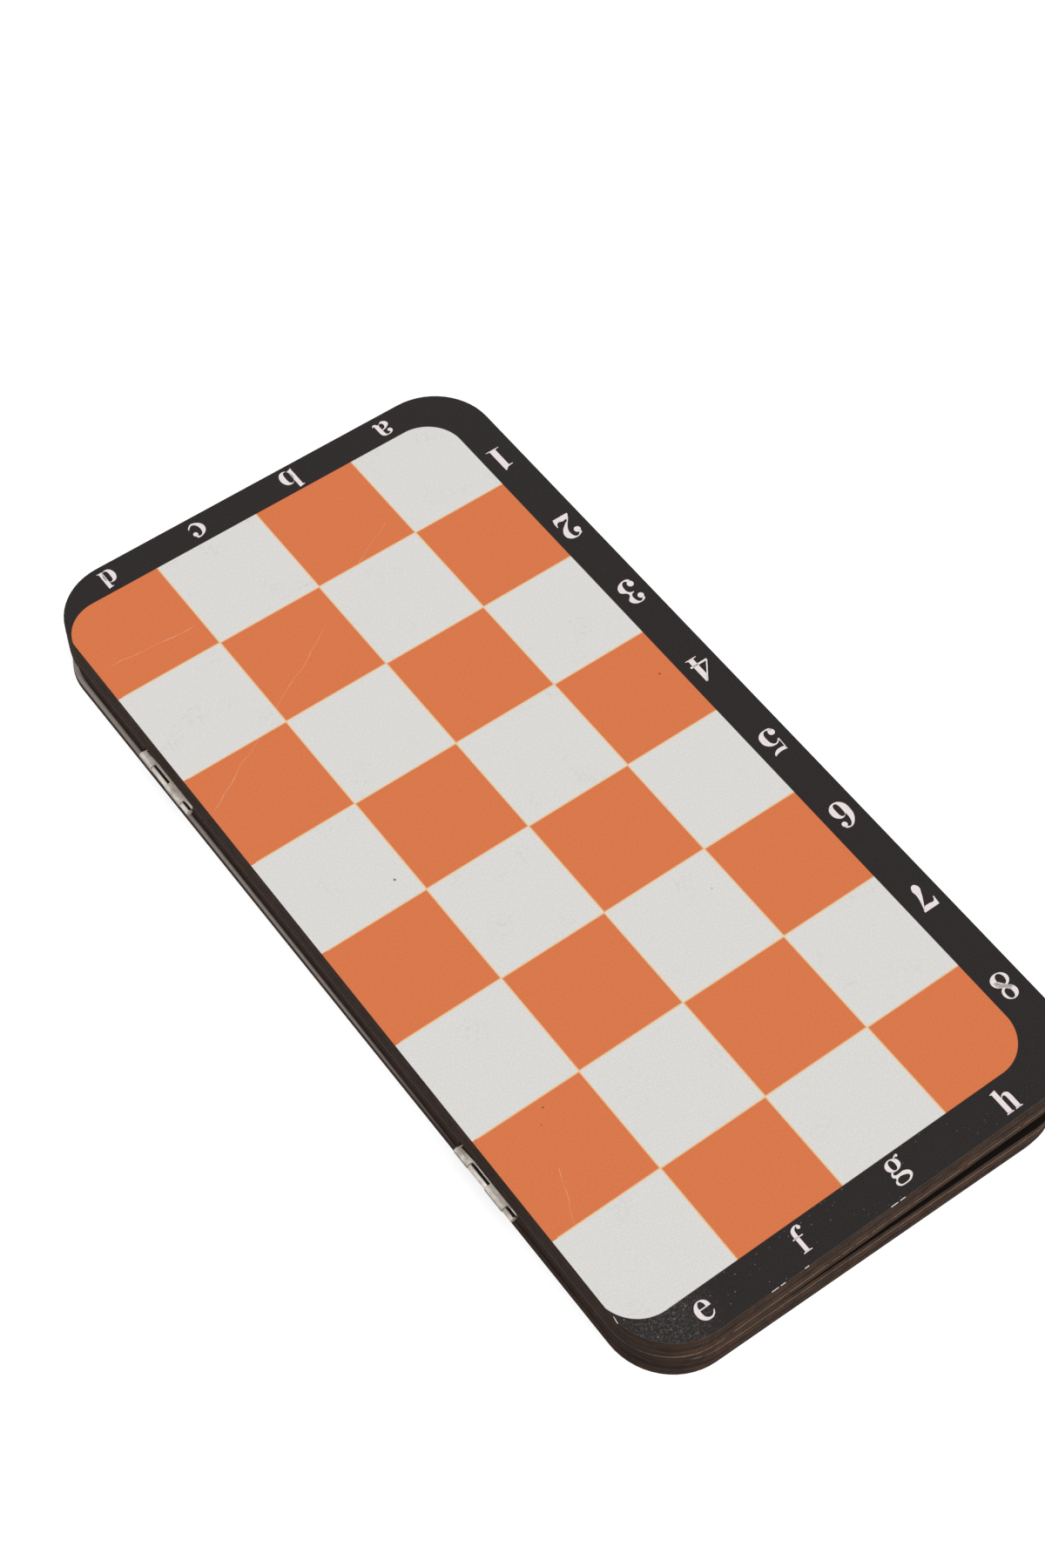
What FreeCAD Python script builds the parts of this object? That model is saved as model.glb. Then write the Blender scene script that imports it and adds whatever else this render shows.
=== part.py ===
"""A folding backgammon and chess box, closed, with its checkers and dice inside.

Millimetres. X runs from the hinged spine (-) to the opening side (+), Y along the
spine, Z up. The origin is the middle of the lower half's face on the table. Each
half is built face down with its print on z = 0; the lid is the same half turned
over about X and then swung open about the hinge pins by the angle at which the
screw heads of the two leaves meet.
"""
import FreeCAD, Part
import Sketcher
import math
import os

from FreeCAD import Placement, Rotation, Vector

doc = FreeCAD.newDocument("backgammon_box")
sheet = doc.addObject("Spreadsheet::Sheet", "sizes")

DIMENSIONS = [
    # the two halves, each four sheets of fibreboard under a printed face
    ("board_width", 128.0),
    ("board_length", 256.0),
    ("board_corner", 17.0),
    ("layer_thickness", 2.5),
    ("print_thickness", 0.2),
    ("wall_width", 9.0),
    ("tray_corner", 8.0),
    ("field_thickness", 0.2),
    ("field_clearance", 0.1),
    # how far the lid stands over the lower half, and the crooked bottom sheet
    ("spine_overhang", 2.05),
    ("end_overhang", 0.7),
    ("base_skew", 0.28),
    # hinges
    ("hinge_spacing", 134.6),
    ("pin_offset", 3.05),
    ("knuckle_radius", 1.0),
    ("pin_radius", 0.5),
    ("pin_clearance", 0.05),
    ("pin_head_radius", 0.8),
    ("pin_head_height", 0.25),
    ("leaf_thickness", 0.45),
    ("leaf_reach", 8.7),
    ("leaf_cutback", 0.25),
    ("lid_knuckle_end", 4.9),
    ("base_knuckle_middle", 6.5),
    ("lid_knuckle_middle", 6.5),
    ("base_knuckle_end", 2.95),
    ("knuckle_gap", 0.15),
    ("notch_depth", 2.5),
    ("notch_clearance", 0.6),
    ("rebate_clearance", 0.2),
    # screws
    ("screw_reach", 7.0),
    ("screw_spacing", 12.0),
    ("screw_head_radius", 1.25),
    ("screw_head_height", 0.75),
    ("screw_shank_radius", 0.6),
    ("screw_tip_gap", 0.2),
    ("screw_stop_gap", 0.04),
    # pieces
    ("checker_thickness", 5.0),
    ("checker_clearance", 0.8),
    ("checker_end_gap", 2.7),
    ("checker_edge", 0.8),
    ("checker_dish_margin", 3.0),
    ("checker_dish_depth", 0.5),
    ("die_size", 8.0),
    ("die_edge", 1.1),
    ("die_spacing", 14.0),
    ("die_end_gap", 6.0),
    ("seat_gap", 0.05),
]
POINTS_PER_END = 6
CHECKERS_PER_COLUMN = 5
COLUMNS_PER_SIDE = 3

for row, (alias, number) in enumerate(DIMENSIONS, start=1):
    sheet.set(f"A{row}", alias)
    sheet.set(f"B{row}", str(number))
    sheet.setAlias(f"B{row}", alias)
doc.recompute()


def value(expression):
    """The number that an expression on the sheet's sizes has now."""
    return float(sheet.evalExpression(expression))


# sizes that follow from the sheet
HALF = "(sizes.print_thickness + 4 * sizes.layer_thickness)"
TRAY_WIDTH = "(sizes.board_width - 2 * sizes.wall_width)"
TRAY_LENGTH = "(sizes.board_length - 2 * sizes.wall_width)"
FLOOR = "(sizes.print_thickness + sizes.layer_thickness + sizes.field_thickness)"
PIN_X = "(-sizes.board_width / 2 - sizes.pin_offset)"
BARREL = (
    "(sizes.lid_knuckle_end + sizes.base_knuckle_middle + sizes.lid_knuckle_middle"
    " + sizes.base_knuckle_end + 3 * sizes.knuckle_gap)"
)
SCREW_GRIP = "(2 * sizes.layer_thickness - sizes.knuckle_radius - sizes.screw_tip_gap)"
POINT_PITCH = f"({TRAY_WIDTH} / {POINTS_PER_END})"
CHECKER_DIAMETER = f"({POINT_PITCH} - sizes.checker_clearance)"

pin_x = value(PIN_X)
half = value(HALF)
space_between_leaves = 2 * value("sizes.knuckle_radius - sizes.leaf_thickness")
head_excess = (
    2 * value("sizes.screw_head_height") + value("sizes.screw_stop_gap") - space_between_leaves
)
rest_angle = math.degrees(
    math.asin(head_excess / value("sizes.screw_reach - sizes.screw_head_radius"))
)

SWING = Placement(Vector(0, 0, 0), Rotation(Vector(0, -1, 0), rest_angle), Vector(pin_x, 0, half))
TURN_OVER = Placement(
    Vector(-value("sizes.spine_overhang"), -value("sizes.end_overhang"), 2 * half),
    Rotation(Vector(1, 0, 0), 180),
)
LID_PLACE = SWING * TURN_OVER
BASE_PLACE = Placement()

# A half as its own pieces see it: where its pins run, and which way Y points.
HALVES = {
    "base": {"place": BASE_PLACE, "pin": PIN_X, "turned": 1, "slip": "0"},
    "lid": {
        "place": LID_PLACE,
        "pin": f"({PIN_X} + sizes.spine_overhang)",
        "turned": -1,
        "slip": "sizes.end_overhang",
    },
}
HINGES = {"far": 1, "near": -1}

nodes = []


def finished(shape_object, label, place=None):
    """Name a finished sub-part and set it in its place."""
    shape_object.Label = label
    if place is not None:
        shape_object.Placement = place
    nodes.append(shape_object)
    return shape_object


# ---- sketch and feature helpers -------------------------------------------------


def origin_plane(body, role):
    for feature in body.Origin.OriginFeatures:
        if feature.Role == role:
            return feature
    raise LookupError(role)


def sketch_on(body, name, lift="0"):
    """A sketch parallel to the body's XY plane, lifted by an expression."""
    sketch = body.newObject("Sketcher::SketchObject", name)
    sketch.AttachmentSupport = [(origin_plane(body, "XY_Plane"), "")]
    sketch.MapMode = "FlatFace"
    sketch.setExpression(".AttachmentOffset.Base.z", lift)
    return sketch


def dimension(sketch, kind, first, second, expression):
    """A driving distance between two sketch points that follows an expression."""
    number = sketch.addConstraint(
        Sketcher.Constraint(kind, first[0], first[1], second[0], second[1], value(expression))
    )
    sketch.setExpression(f"Constraints[{number}]", expression)


ORIGIN = (-1, 1)


def draw_rectangle(sketch, low_x, low_y, high_x, high_y):
    """An upright rectangle between two corners, each coordinate an expression."""
    left, bottom, right, top = (value(e) for e in (low_x, low_y, high_x, high_y))
    corners = [
        Vector(left, bottom, 0),
        Vector(right, bottom, 0),
        Vector(right, top, 0),
        Vector(left, top, 0),
    ]
    first = sketch.GeometryCount
    for start, end in zip(corners, corners[1:] + corners[:1]):
        sketch.addGeometry(Part.LineSegment(start, end), False)
    for side in range(4):
        following = first + (side + 1) % 4
        sketch.addConstraint(Sketcher.Constraint("Coincident", first + side, 2, following, 1))
    sketch.addConstraint(Sketcher.Constraint("Horizontal", first))
    sketch.addConstraint(Sketcher.Constraint("Vertical", first + 1))
    sketch.addConstraint(Sketcher.Constraint("Horizontal", first + 2))
    sketch.addConstraint(Sketcher.Constraint("Vertical", first + 3))
    dimension(sketch, "DistanceX", ORIGIN, (first, 1), low_x)
    dimension(sketch, "DistanceY", ORIGIN, (first, 1), low_y)
    dimension(sketch, "DistanceX", ORIGIN, (first + 2, 1), high_x)
    dimension(sketch, "DistanceY", ORIGIN, (first + 2, 1), high_y)


def draw_circle(sketch, centre_x, centre_y, radius):
    """A circle whose centre and radius are expressions."""
    centre = Vector(value(centre_x), value(centre_y), 0)
    circle = sketch.addGeometry(Part.Circle(centre, Vector(0, 0, 1), value(radius)), False)
    number = sketch.addConstraint(Sketcher.Constraint("Radius", circle, value(radius)))
    sketch.setExpression(f"Constraints[{number}]", radius)
    dimension(sketch, "DistanceX", ORIGIN, (circle, 3), centre_x)
    dimension(sketch, "DistanceY", ORIGIN, (circle, 3), centre_y)


def pad(body, sketch, name, height):
    feature = body.newObject("PartDesign::Pad", name)
    feature.Profile = sketch
    feature.setExpression("Length", height)
    body.Tip = feature
    doc.recompute()
    return feature


def pocket(body, sketch, name, depth, upward=False):
    """Cut a sketch into the body, and insist that it took something away."""
    before = body.Shape.Volume
    feature = body.newObject("PartDesign::Pocket", name)
    feature.Profile = sketch
    feature.Reversed = upward
    feature.setExpression("Length", depth)
    body.Tip = feature
    doc.recompute()
    if not body.Shape.Volume < before:
        raise RuntimeError(f"{body.Label}: {name} cuts nothing")
    return feature


def round_upright_edges(body, name, radius, wanted):
    """Fillet the straight upright edges for which wanted(x, y) is true."""
    base = body.Tip
    edges = []
    for number, edge in enumerate(base.Shape.Edges, start=1):
        start, end = (vertex.Point for vertex in edge.Vertexes[:: len(edge.Vertexes) - 1 or 1])
        upright = len(edge.Vertexes) == 2 and (start - end).cross(Vector(0, 0, 1)).Length < 1e-6
        if upright and wanted(start.x, start.y):
            edges.append(f"Edge{number}")
    feature = body.newObject("PartDesign::Fillet", name)
    feature.Base = (base, edges)
    feature.setExpression("Radius", radius)
    body.Tip = feature
    doc.recompute()


def around(width, length):
    """The four corner expressions of a rectangle about the origin."""
    return (f"-{width} / 2", f"-{length} / 2", f"{width} / 2", f"{length} / 2")


# ---- the sheets that each half is glued up from ---------------------------------


def rounded_sheet(label, width, length, corner, bottom, thickness, place):
    """A sheet with rounded corners, such as a board, its print or a playing field."""
    body = doc.addObject("PartDesign::Body", label)
    outline = sketch_on(body, f"{label}_outline", bottom)
    draw_rectangle(outline, *around(width, length))
    pad(body, outline, f"{label}_sheet", thickness)
    round_upright_edges(body, f"{label}_corners", corner, lambda x, y: True)
    return finished(body, label, place)


def wall_ring(label, bottom):
    """A ring of board that walls in the tray, with rounded corners in and out."""
    body = doc.addObject("PartDesign::Body", label)
    outline = sketch_on(body, f"{label}_outline", bottom)
    draw_rectangle(outline, *around("sizes.board_width", "sizes.board_length"))
    draw_rectangle(outline, *around(TRAY_WIDTH, TRAY_LENGTH))
    pad(body, outline, f"{label}_ring", "sizes.layer_thickness")
    tray_half = value(TRAY_WIDTH) / 2 + value("sizes.wall_width") / 2
    round_upright_edges(
        body, f"{label}_outer_corners", "sizes.board_corner", lambda x, y: abs(x) > tray_half
    )
    round_upright_edges(
        body, f"{label}_inner_corners", "sizes.tray_corner", lambda x, y: abs(x) < tray_half
    )
    return body


def hinge_middle(side, sign):
    """Where a hinge's middle lies along Y for the pieces of one half."""
    return f"({side['turned'] * sign} * sizes.hinge_spacing / 2 - {side['slip']})"


def screw_spots(side):
    """Centres of the four screws of one half, as pairs of expressions."""
    for sign in HINGES.values():
        for end in (1, -1):
            along = f"({hinge_middle(side, sign)} + {end} * sizes.screw_spacing / 2)"
            yield f"({side['pin']} + sizes.screw_reach)", along


def drill_pilots(body, side, level, depth):
    holes = sketch_on(body, f"{body.Name}_pilots", level)
    for across, along in screw_spots(side):
        draw_circle(holes, across, along, "sizes.screw_shank_radius")
    pocket(body, holes, f"{body.Name}_pilot_holes", depth)


def let_in_hinges(body, side):
    """Cut the notches for the barrels and the rebates for the leaves into a rim."""
    notches = sketch_on(body, f"{body.Name}_notch_outline", HALF)
    rebates = sketch_on(body, f"{body.Name}_rebate_outline", HALF)
    for sign in HINGES.values():
        middle = hinge_middle(side, sign)
        notch_half = f"({BARREL} / 2 + sizes.notch_clearance)"
        rebate_half = f"({BARREL} / 2 + sizes.rebate_clearance)"
        face = "(-sizes.board_width / 2)"
        draw_rectangle(
            notches,
            f"{face} - 1",
            f"{middle} - {notch_half}",
            f"{face} + sizes.notch_depth",
            f"{middle} + {notch_half}",
        )
        draw_rectangle(
            rebates,
            f"{face} + sizes.notch_depth / 2",
            f"{middle} - {rebate_half}",
            f"{side['pin']} + sizes.leaf_reach + sizes.rebate_clearance",
            f"{middle} + {rebate_half}",
        )
    pocket(body, notches, f"{body.Name}_notches", "sizes.layer_thickness")
    pocket(body, rebates, f"{body.Name}_rebates", "sizes.knuckle_radius")


def build_half(name):
    side = HALVES[name]
    place = side["place"]
    skewed = place
    if name == "base":
        # the bottom sheet was glued on crooked: it turns about the near end of the spine
        pivot = Vector(-value("sizes.board_width") / 2, -value("sizes.board_length") / 2, 0)
        skewed = Placement(Vector(0, 0, 0), Rotation(Vector(0, 0, 1), value("sizes.base_skew")), pivot)
    board = ("sizes.board_width", "sizes.board_length", "sizes.board_corner")
    rounded_sheet(f"{name}_print", *board, "0", "sizes.print_thickness", skewed)
    rounded_sheet(
        f"{name}_board", *board, "sizes.print_thickness", "sizes.layer_thickness", skewed
    )
    rounded_sheet(
        f"{name}_field",
        f"({TRAY_WIDTH} - 2 * sizes.field_clearance)",
        f"({TRAY_LENGTH} - 2 * sizes.field_clearance)",
        "sizes.tray_corner - sizes.field_clearance",
        "sizes.print_thickness + sizes.layer_thickness",
        "sizes.field_thickness",
        place,
    )
    layer = "sizes.print_thickness + {} * sizes.layer_thickness"
    outer_ring = wall_ring(f"{name}_outer_ring", layer.format(1))
    finished(outer_ring, f"{name}_outer_ring", place)
    middle_ring = wall_ring(f"{name}_middle_ring", layer.format(2))
    drill_pilots(
        middle_ring,
        side,
        layer.format(3),
        f"{SCREW_GRIP} - (sizes.layer_thickness - sizes.knuckle_radius)",
    )
    finished(middle_ring, f"{name}_middle_ring", place)
    rim = wall_ring(f"{name}_rim", layer.format(3))
    let_in_hinges(rim, side)
    drill_pilots(rim, side, HALF, "sizes.layer_thickness")
    finished(rim, f"{name}_rim", place)


# ---- hinges ---------------------------------------------------------------------


def cylinder_along_y(name, radius, start, length):
    """A bar on the pin line; start and length are expressions along Y."""
    bar = doc.addObject("Part::Cylinder", name)
    bar.setExpression("Radius", radius)
    bar.setExpression("Height", length)
    bar.Placement = Placement(
        Vector(pin_x, value(start) + value(length), half), Rotation(Vector(1, 0, 0), 90)
    )
    return bar


def plate(name, low, size):
    """A box from its low corner and three sizes, all expressions."""
    box = doc.addObject("Part::Box", name)
    for edge, expression in zip(("Length", "Width", "Height"), size):
        box.setExpression(edge, expression)
    box.Placement.Base = Vector(*(value(e) for e in low))
    return box


def fuse(name, shapes):
    joined = doc.addObject("Part::MultiFuse", name)
    joined.Shapes = shapes
    return joined


def cut(name, base, tool):
    remainder = doc.addObject("Part::Cut", name)
    remainder.Base = base
    remainder.Tool = tool
    return remainder


def upright_bar(name, radius, height, base):
    bar = doc.addObject("Part::Cylinder", name)
    bar.setExpression("Radius", radius)
    bar.setExpression("Height", height)
    bar.Placement.Base = base
    return bar


def knuckle_runs(middle):
    """Owner, start and length of each knuckle, from the far end of a hinge."""
    spot = f"({middle} + {BARREL} / 2)"
    for owner, size in (
        ("lid", "sizes.lid_knuckle_end"),
        ("base", "sizes.base_knuckle_middle"),
        ("lid", "sizes.lid_knuckle_middle"),
        ("base", "sizes.base_knuckle_end"),
    ):
        yield owner, f"({spot} - {size})", size
        spot = f"({spot} - {size} - sizes.knuckle_gap)"


def leaf(hinge, owner, middle):
    """One leaf: a flat plate, tongues rolled into its own knuckles, two screw holes."""
    name = f"{hinge}_hinge_{owner}_leaf"
    above = owner == "lid"
    thin = "sizes.leaf_thickness"
    level = f"({HALF} + sizes.knuckle_radius - {thin})" if above else f"({HALF} - sizes.knuckle_radius)"
    clear = "(sizes.knuckle_radius + sizes.leaf_cutback)"
    body = [
        plate(
            f"{name}_plate",
            (f"{PIN_X} + {clear}", f"{middle} - {BARREL} / 2", level),
            (f"sizes.leaf_reach - {clear}", BARREL, thin),
        )
    ]
    for number, (whose, start, size) in enumerate(knuckle_runs(middle)):
        if whose != owner:
            continue
        body.append(plate(f"{name}_tongue_{number}", (PIN_X, start, level), (clear, size, thin)))
        body.append(cylinder_along_y(f"{name}_knuckle_{number}", "sizes.knuckle_radius", start, size))
    bore = cylinder_along_y(
        f"{name}_bore",
        "sizes.pin_radius + sizes.pin_clearance",
        f"({middle} - {BARREL} / 2 - 1)",
        f"({BARREL} + 2)",
    )
    holes = [
        upright_bar(
            f"{name}_hole_{number}",
            "sizes.screw_shank_radius",
            f"3 * {thin}",
            Vector(
                value(f"{PIN_X} + sizes.screw_reach"),
                value(f"{middle} + {end} * sizes.screw_spacing / 2"),
                value(f"{level} - {thin}"),
            ),
        )
        for number, end in enumerate((1, -1))
    ]
    whole = cut(f"{name}_whole", fuse(f"{name}_blank", body), fuse(f"{name}_tools", [bore] + holes))
    return finished(whole, name, SWING if above else BASE_PLACE)


def hinge_pin(hinge, middle):
    """A plain pin with both ends riveted over."""
    name = f"{hinge}_hinge_pin"
    start = f"({middle} - {BARREL} / 2)"
    shaft = cylinder_along_y(f"{name}_shaft", "sizes.pin_radius", start, BARREL)
    low_head = cylinder_along_y(
        f"{name}_low_head",
        "sizes.pin_head_radius",
        f"{start} - sizes.pin_head_height",
        "sizes.pin_head_height",
    )
    high_head = cylinder_along_y(
        f"{name}_high_head",
        "sizes.pin_head_radius",
        f"{middle} + {BARREL} / 2",
        "sizes.pin_head_height",
    )
    return finished(fuse(f"{name}_whole", [shaft, low_head, high_head]), name, BASE_PLACE)


def leaf_screws(owner):
    """The four round-head screws of one half, driven through its leaves."""
    above = owner == "lid"
    screws = []
    for hinge, sign in HINGES.items():
        for number, end in enumerate((1, -1)):
            name = f"{owner}_screw_{hinge}_{number}"
            spot_x = value(f"{PIN_X} + sizes.screw_reach")
            spot_y = value(f"{sign} * sizes.hinge_spacing / 2 + {end} * sizes.screw_spacing / 2")
            gap = value("sizes.knuckle_radius - sizes.leaf_thickness")
            shank_length = f"(sizes.leaf_thickness + {SCREW_GRIP})"
            head_height = value("sizes.screw_head_height")
            head_low = half + gap - head_height if above else half - gap
            shank_low = half + gap if above else half - gap - value(shank_length)
            head = upright_bar(
                f"{name}_head",
                "sizes.screw_head_radius",
                "sizes.screw_head_height",
                Vector(spot_x, spot_y, head_low),
            )
            shank = upright_bar(
                f"{name}_shank",
                "sizes.screw_shank_radius",
                shank_length,
                Vector(spot_x, spot_y, shank_low),
            )
            screws.append(fuse(name, [head, shank]))
    group = doc.addObject("Part::Compound", f"{owner}_hinge_screws")
    group.Links = screws
    return finished(group, f"{owner}_hinge_screws", SWING if above else BASE_PLACE)


# ---- checkers and dice ----------------------------------------------------------


def round_rims(body, name, radius):
    """Fillet every circular rim of the body's present shape."""
    base = body.Tip
    rims = [
        f"Edge{number}"
        for number, edge in enumerate(base.Shape.Edges, start=1)
        if isinstance(edge.Curve, Part.Circle)
    ]
    feature = body.newObject("PartDesign::Fillet", name)
    feature.Base = (base, rims)
    feature.setExpression("Radius", radius)
    body.Tip = feature
    doc.recompute()


def checker(label, x, y):
    """A round checker with soft edges and a shallow dish in each face."""
    body = doc.addObject("PartDesign::Body", label)
    disc = sketch_on(body, f"{label}_disc")
    draw_circle(disc, "0", "0", f"{CHECKER_DIAMETER} / 2")
    pad(body, disc, f"{label}_pad", "sizes.checker_thickness")
    round_rims(body, f"{label}_edges", "sizes.checker_edge")
    dish = f"{CHECKER_DIAMETER} / 2 - sizes.checker_dish_margin"
    upper = sketch_on(body, f"{label}_upper_dish", "sizes.checker_thickness")
    draw_circle(upper, "0", "0", dish)
    pocket(body, upper, f"{label}_upper_cut", "sizes.checker_dish_depth")
    lower = sketch_on(body, f"{label}_lower_dish")
    draw_circle(lower, "0", "0", dish)
    pocket(body, lower, f"{label}_lower_cut", "sizes.checker_dish_depth", upward=True)
    seat = value(f"{FLOOR} + sizes.seat_gap")
    return finished(body, label, Placement(Vector(x, y, seat), Rotation()))


def lay_checkers():
    """Fifteen a side, in columns of five on the points at the far end of the tray."""
    pitch = value(POINT_PITCH)
    first_x = -value(TRAY_WIDTH) / 2 + pitch / 2
    first_y = value(f"{TRAY_LENGTH} / 2 - {CHECKER_DIAMETER} / 2 - sizes.checker_end_gap")
    for side, first_column in (("light", 0), ("dark", COLUMNS_PER_SIDE)):
        number = 0
        for column in range(first_column, first_column + COLUMNS_PER_SIDE):
            for place_in_column in range(CHECKERS_PER_COLUMN):
                number += 1
                x = first_x + column * pitch
                y = first_y - place_in_column * pitch
                checker(f"{side}_checker_{number:02d}", x, y)


def die(label, x, y, turn):
    """A die with rounded edges, lying on the tray floor."""
    body = doc.addObject("PartDesign::Body", label)
    square = sketch_on(body, f"{label}_square")
    draw_rectangle(square, *around("sizes.die_size", "sizes.die_size"))
    pad(body, square, f"{label}_cube", "sizes.die_size")
    base = body.Tip
    feature = body.newObject("PartDesign::Fillet", f"{label}_edges")
    feature.Base = (base, [f"Edge{n}" for n in range(1, len(base.Shape.Edges) + 1)])
    feature.setExpression("Radius", "sizes.die_edge")
    body.Tip = feature
    doc.recompute()
    seat = value(f"{FLOOR} + sizes.seat_gap")
    return finished(body, label, Placement(Vector(x, y, seat), Rotation(Vector(0, 0, 1), turn)))


for half_name in HALVES:
    build_half(half_name)
for hinge_name, hinge_sign in HINGES.items():
    hinge_centre = f"({hinge_sign} * sizes.hinge_spacing / 2)"
    leaf(hinge_name, "base", hinge_centre)
    leaf(hinge_name, "lid", hinge_centre)
    hinge_pin(hinge_name, hinge_centre)
leaf_screws("base")
leaf_screws("lid")
lay_checkers()
dice_y = value(f"sizes.die_size / 2 + sizes.die_end_gap - {TRAY_LENGTH} / 2")
dice_x = value("sizes.die_spacing") / 2
die("die_1", -dice_x, dice_y, 0)
die("die_2", dice_x, dice_y, 25)

doc.recompute()
for item in doc.Objects:
    if "Invalid" in item.State or "Error" in item.State:
        raise RuntimeError(f"{item.Label} failed: {item.State}")
for node in nodes:
    if node.Shape.isNull() or not node.Shape.isValid():
        raise RuntimeError(f"{node.Label} has no valid shape")

os.makedirs("parts", exist_ok=True)
for node in nodes:
    node.Shape.exportStep(f"parts/{node.Label}.step")
print(f"{len(nodes)} sub-parts, lid rests {rest_angle:.2f} degrees open")
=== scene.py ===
"""The looks of a folding backgammon and chess box, closed, with its pieces inside.

Lengths in the tables are millimetres. A half's own frame has its printed face on
z = 0, facing down, its spine towards -X and its far end towards -Y.
"""

import math

import bpy
from mathutils import Matrix, Vector


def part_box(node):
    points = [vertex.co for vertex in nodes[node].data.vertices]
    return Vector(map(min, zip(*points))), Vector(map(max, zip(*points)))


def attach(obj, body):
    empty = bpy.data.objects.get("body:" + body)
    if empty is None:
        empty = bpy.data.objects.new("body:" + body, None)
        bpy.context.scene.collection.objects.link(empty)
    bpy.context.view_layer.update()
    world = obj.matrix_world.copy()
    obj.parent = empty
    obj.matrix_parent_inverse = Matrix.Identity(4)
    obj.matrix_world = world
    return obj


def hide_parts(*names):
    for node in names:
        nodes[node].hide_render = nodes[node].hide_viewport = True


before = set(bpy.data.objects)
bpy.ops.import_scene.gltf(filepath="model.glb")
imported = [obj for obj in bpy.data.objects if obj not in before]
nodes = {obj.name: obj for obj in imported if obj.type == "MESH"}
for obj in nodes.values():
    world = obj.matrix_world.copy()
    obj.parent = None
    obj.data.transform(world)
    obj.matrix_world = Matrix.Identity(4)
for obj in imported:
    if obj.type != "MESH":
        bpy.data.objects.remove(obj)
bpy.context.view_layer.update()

MM = 0.001

# the box, as the frame has it
BOARD_WIDTH = 128.0
BOARD_LENGTH = 256.0
BOARD_CORNER = 17.0
SHEET_THICKNESS = 2.5
PRINT_THICKNESS = 0.2
HALF_THICKNESS = PRINT_THICKNESS + 4 * SHEET_THICKNESS
WALL_WIDTH = 9.0
END_OVERHANG = 0.7
BASE_SKEW = 0.28

# the hinges, knuckles from the far end
PIN_X = -67.05
LID_PIN_X = -65.0
HINGE_CENTRES = {"far": 67.3, "near": -67.3}
HINGE_SPACING = HINGE_CENTRES["far"] - HINGE_CENTRES["near"]
KNUCKLES = (("lid", 4.9), ("base", 6.5), ("lid", 6.5), ("base", 2.95))
KNUCKLE_GAP = 0.15
KNUCKLE_RADIUS = 1.0
LEAF_THICKNESS = 0.45
LEAF_STARTS = {"base": 1.25, "lid": 0.78}
BASE_KNUCKLE_SHARE = 0.78
LEAF_REACH = 8.7
LEAF_CORNER = 1.6
ROLL_DEGREES = 300
BARREL = sum(size for owner, size in KNUCKLES) + 3 * KNUCKLE_GAP
SCREW_REACH = 7.0
SCREW_SPACING = 12.0
SCREW_HEAD_RADIUS = 1.25
SCREW_HEAD_HEIGHT = 0.75
SHANK_RADIUS = 0.58
SHANK_LENGTH = 2.6
TIP_LENGTH = 1.0
TIP_SHARE = 0.25
RECESS_DEPTH = 0.42
RECESS_BAR = (0.30, 1.5)
RECESS_TAPER = 0.7
HEAD_ROUNDING = 0.5

# the chess print, from the middle of a half's outside, far end at -Y
SQUARE = 30.0
FIRST_LINE_X = -64.1
FIRST_LINE_Y = -119.5
FIELD_SPINE = -64.3
FIELD_OPENING = 53.6
FIELD_FAR = -119.0
FIELD_NEAR = 117.7
FIELD_CORNER = 10.6
FIELD_BLUR = 0.07
SEAM_SHARES = (0.011, 0.003)

# the backgammon points inside
POINTS_PER_END = 6
TRAY_HALF_WIDTH = BOARD_WIDTH / 2 - WALL_WIDTH
TRAY_HALF_LENGTH = BOARD_LENGTH / 2 - WALL_WIDTH
POINT_PITCH = 2 * TRAY_HALF_WIDTH / POINTS_PER_END
POINT_LENGTH = 96.0

# where a mask starts and where it is full, in a half's own frame
# painted shade: the boards' cut edges lose their brown streaks and stay char-dark towards the spine,
# and there towards the mating face
SPINE_SHADE_X = (-66.0, -50.0)
SEAM_SHADE_Z = (16.0, -8.0)
# painted shade: the glue lines fade into the char colour towards the shaded spine side
GLUE_OUT_OF_SHADE_X = (-66.0, -54.0)
LEDGE_ROOT_X = (-64.05, -64.6)
LEDGE_FAR_Y = (108.0, 116.0)
LEDGE_RIM_Z = (1.2, 2.4)
LEDGE_RIM_X = (-50.0, -60.0)
LEDGE_START_Y = (-58.0, -12.0)
# how upright a normal is where a side gives way to a broad face
BROAD = (0.7, 0.95)

# finishes, as they look in plain light
ORANGE = (219, 120, 72)
CREAM = (236, 206, 160)
WHITE = (223, 221, 218)
BLACK = (26, 24, 25)
LETTER_WHITE = (232, 222, 222)
DUST = (176, 172, 166)
PEEL_SHADE = (90, 70, 60)
SMUDGE = (176, 174, 170)
FINE_DIRT = (150, 145, 140)
BARE_HAIR = (244, 220, 200)
DARK_SPOT = (70, 60, 55)
BOARD_CHAR = (40, 32, 29)
BOARD_BROWN = (86, 63, 49)
BOARD_FACE = (165, 156, 150)
# a paler copy of the board's face for the ledge at the spine: painted light
LIT_LEDGE_FACE = (186, 174, 167)
# near-black rims' mating faces: black paint that also stands in for the shade in the gap between the
# closed halves
RIM_BLACK_SHADE = (18, 16, 15)
GLUE = (146, 130, 114)
FAINT_SEAM = (84, 72, 62)
NICKEL_BRIGHT = (222, 213, 203)
# the dull clouds on plating: partly rubbed wear, partly painted reflection
NICKEL_DULL_AND_REFLECTION = (176, 166, 156)
# painted shade on the barrels' outer side
BARREL_SIDE_SHADE = (104, 94, 84)
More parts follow.
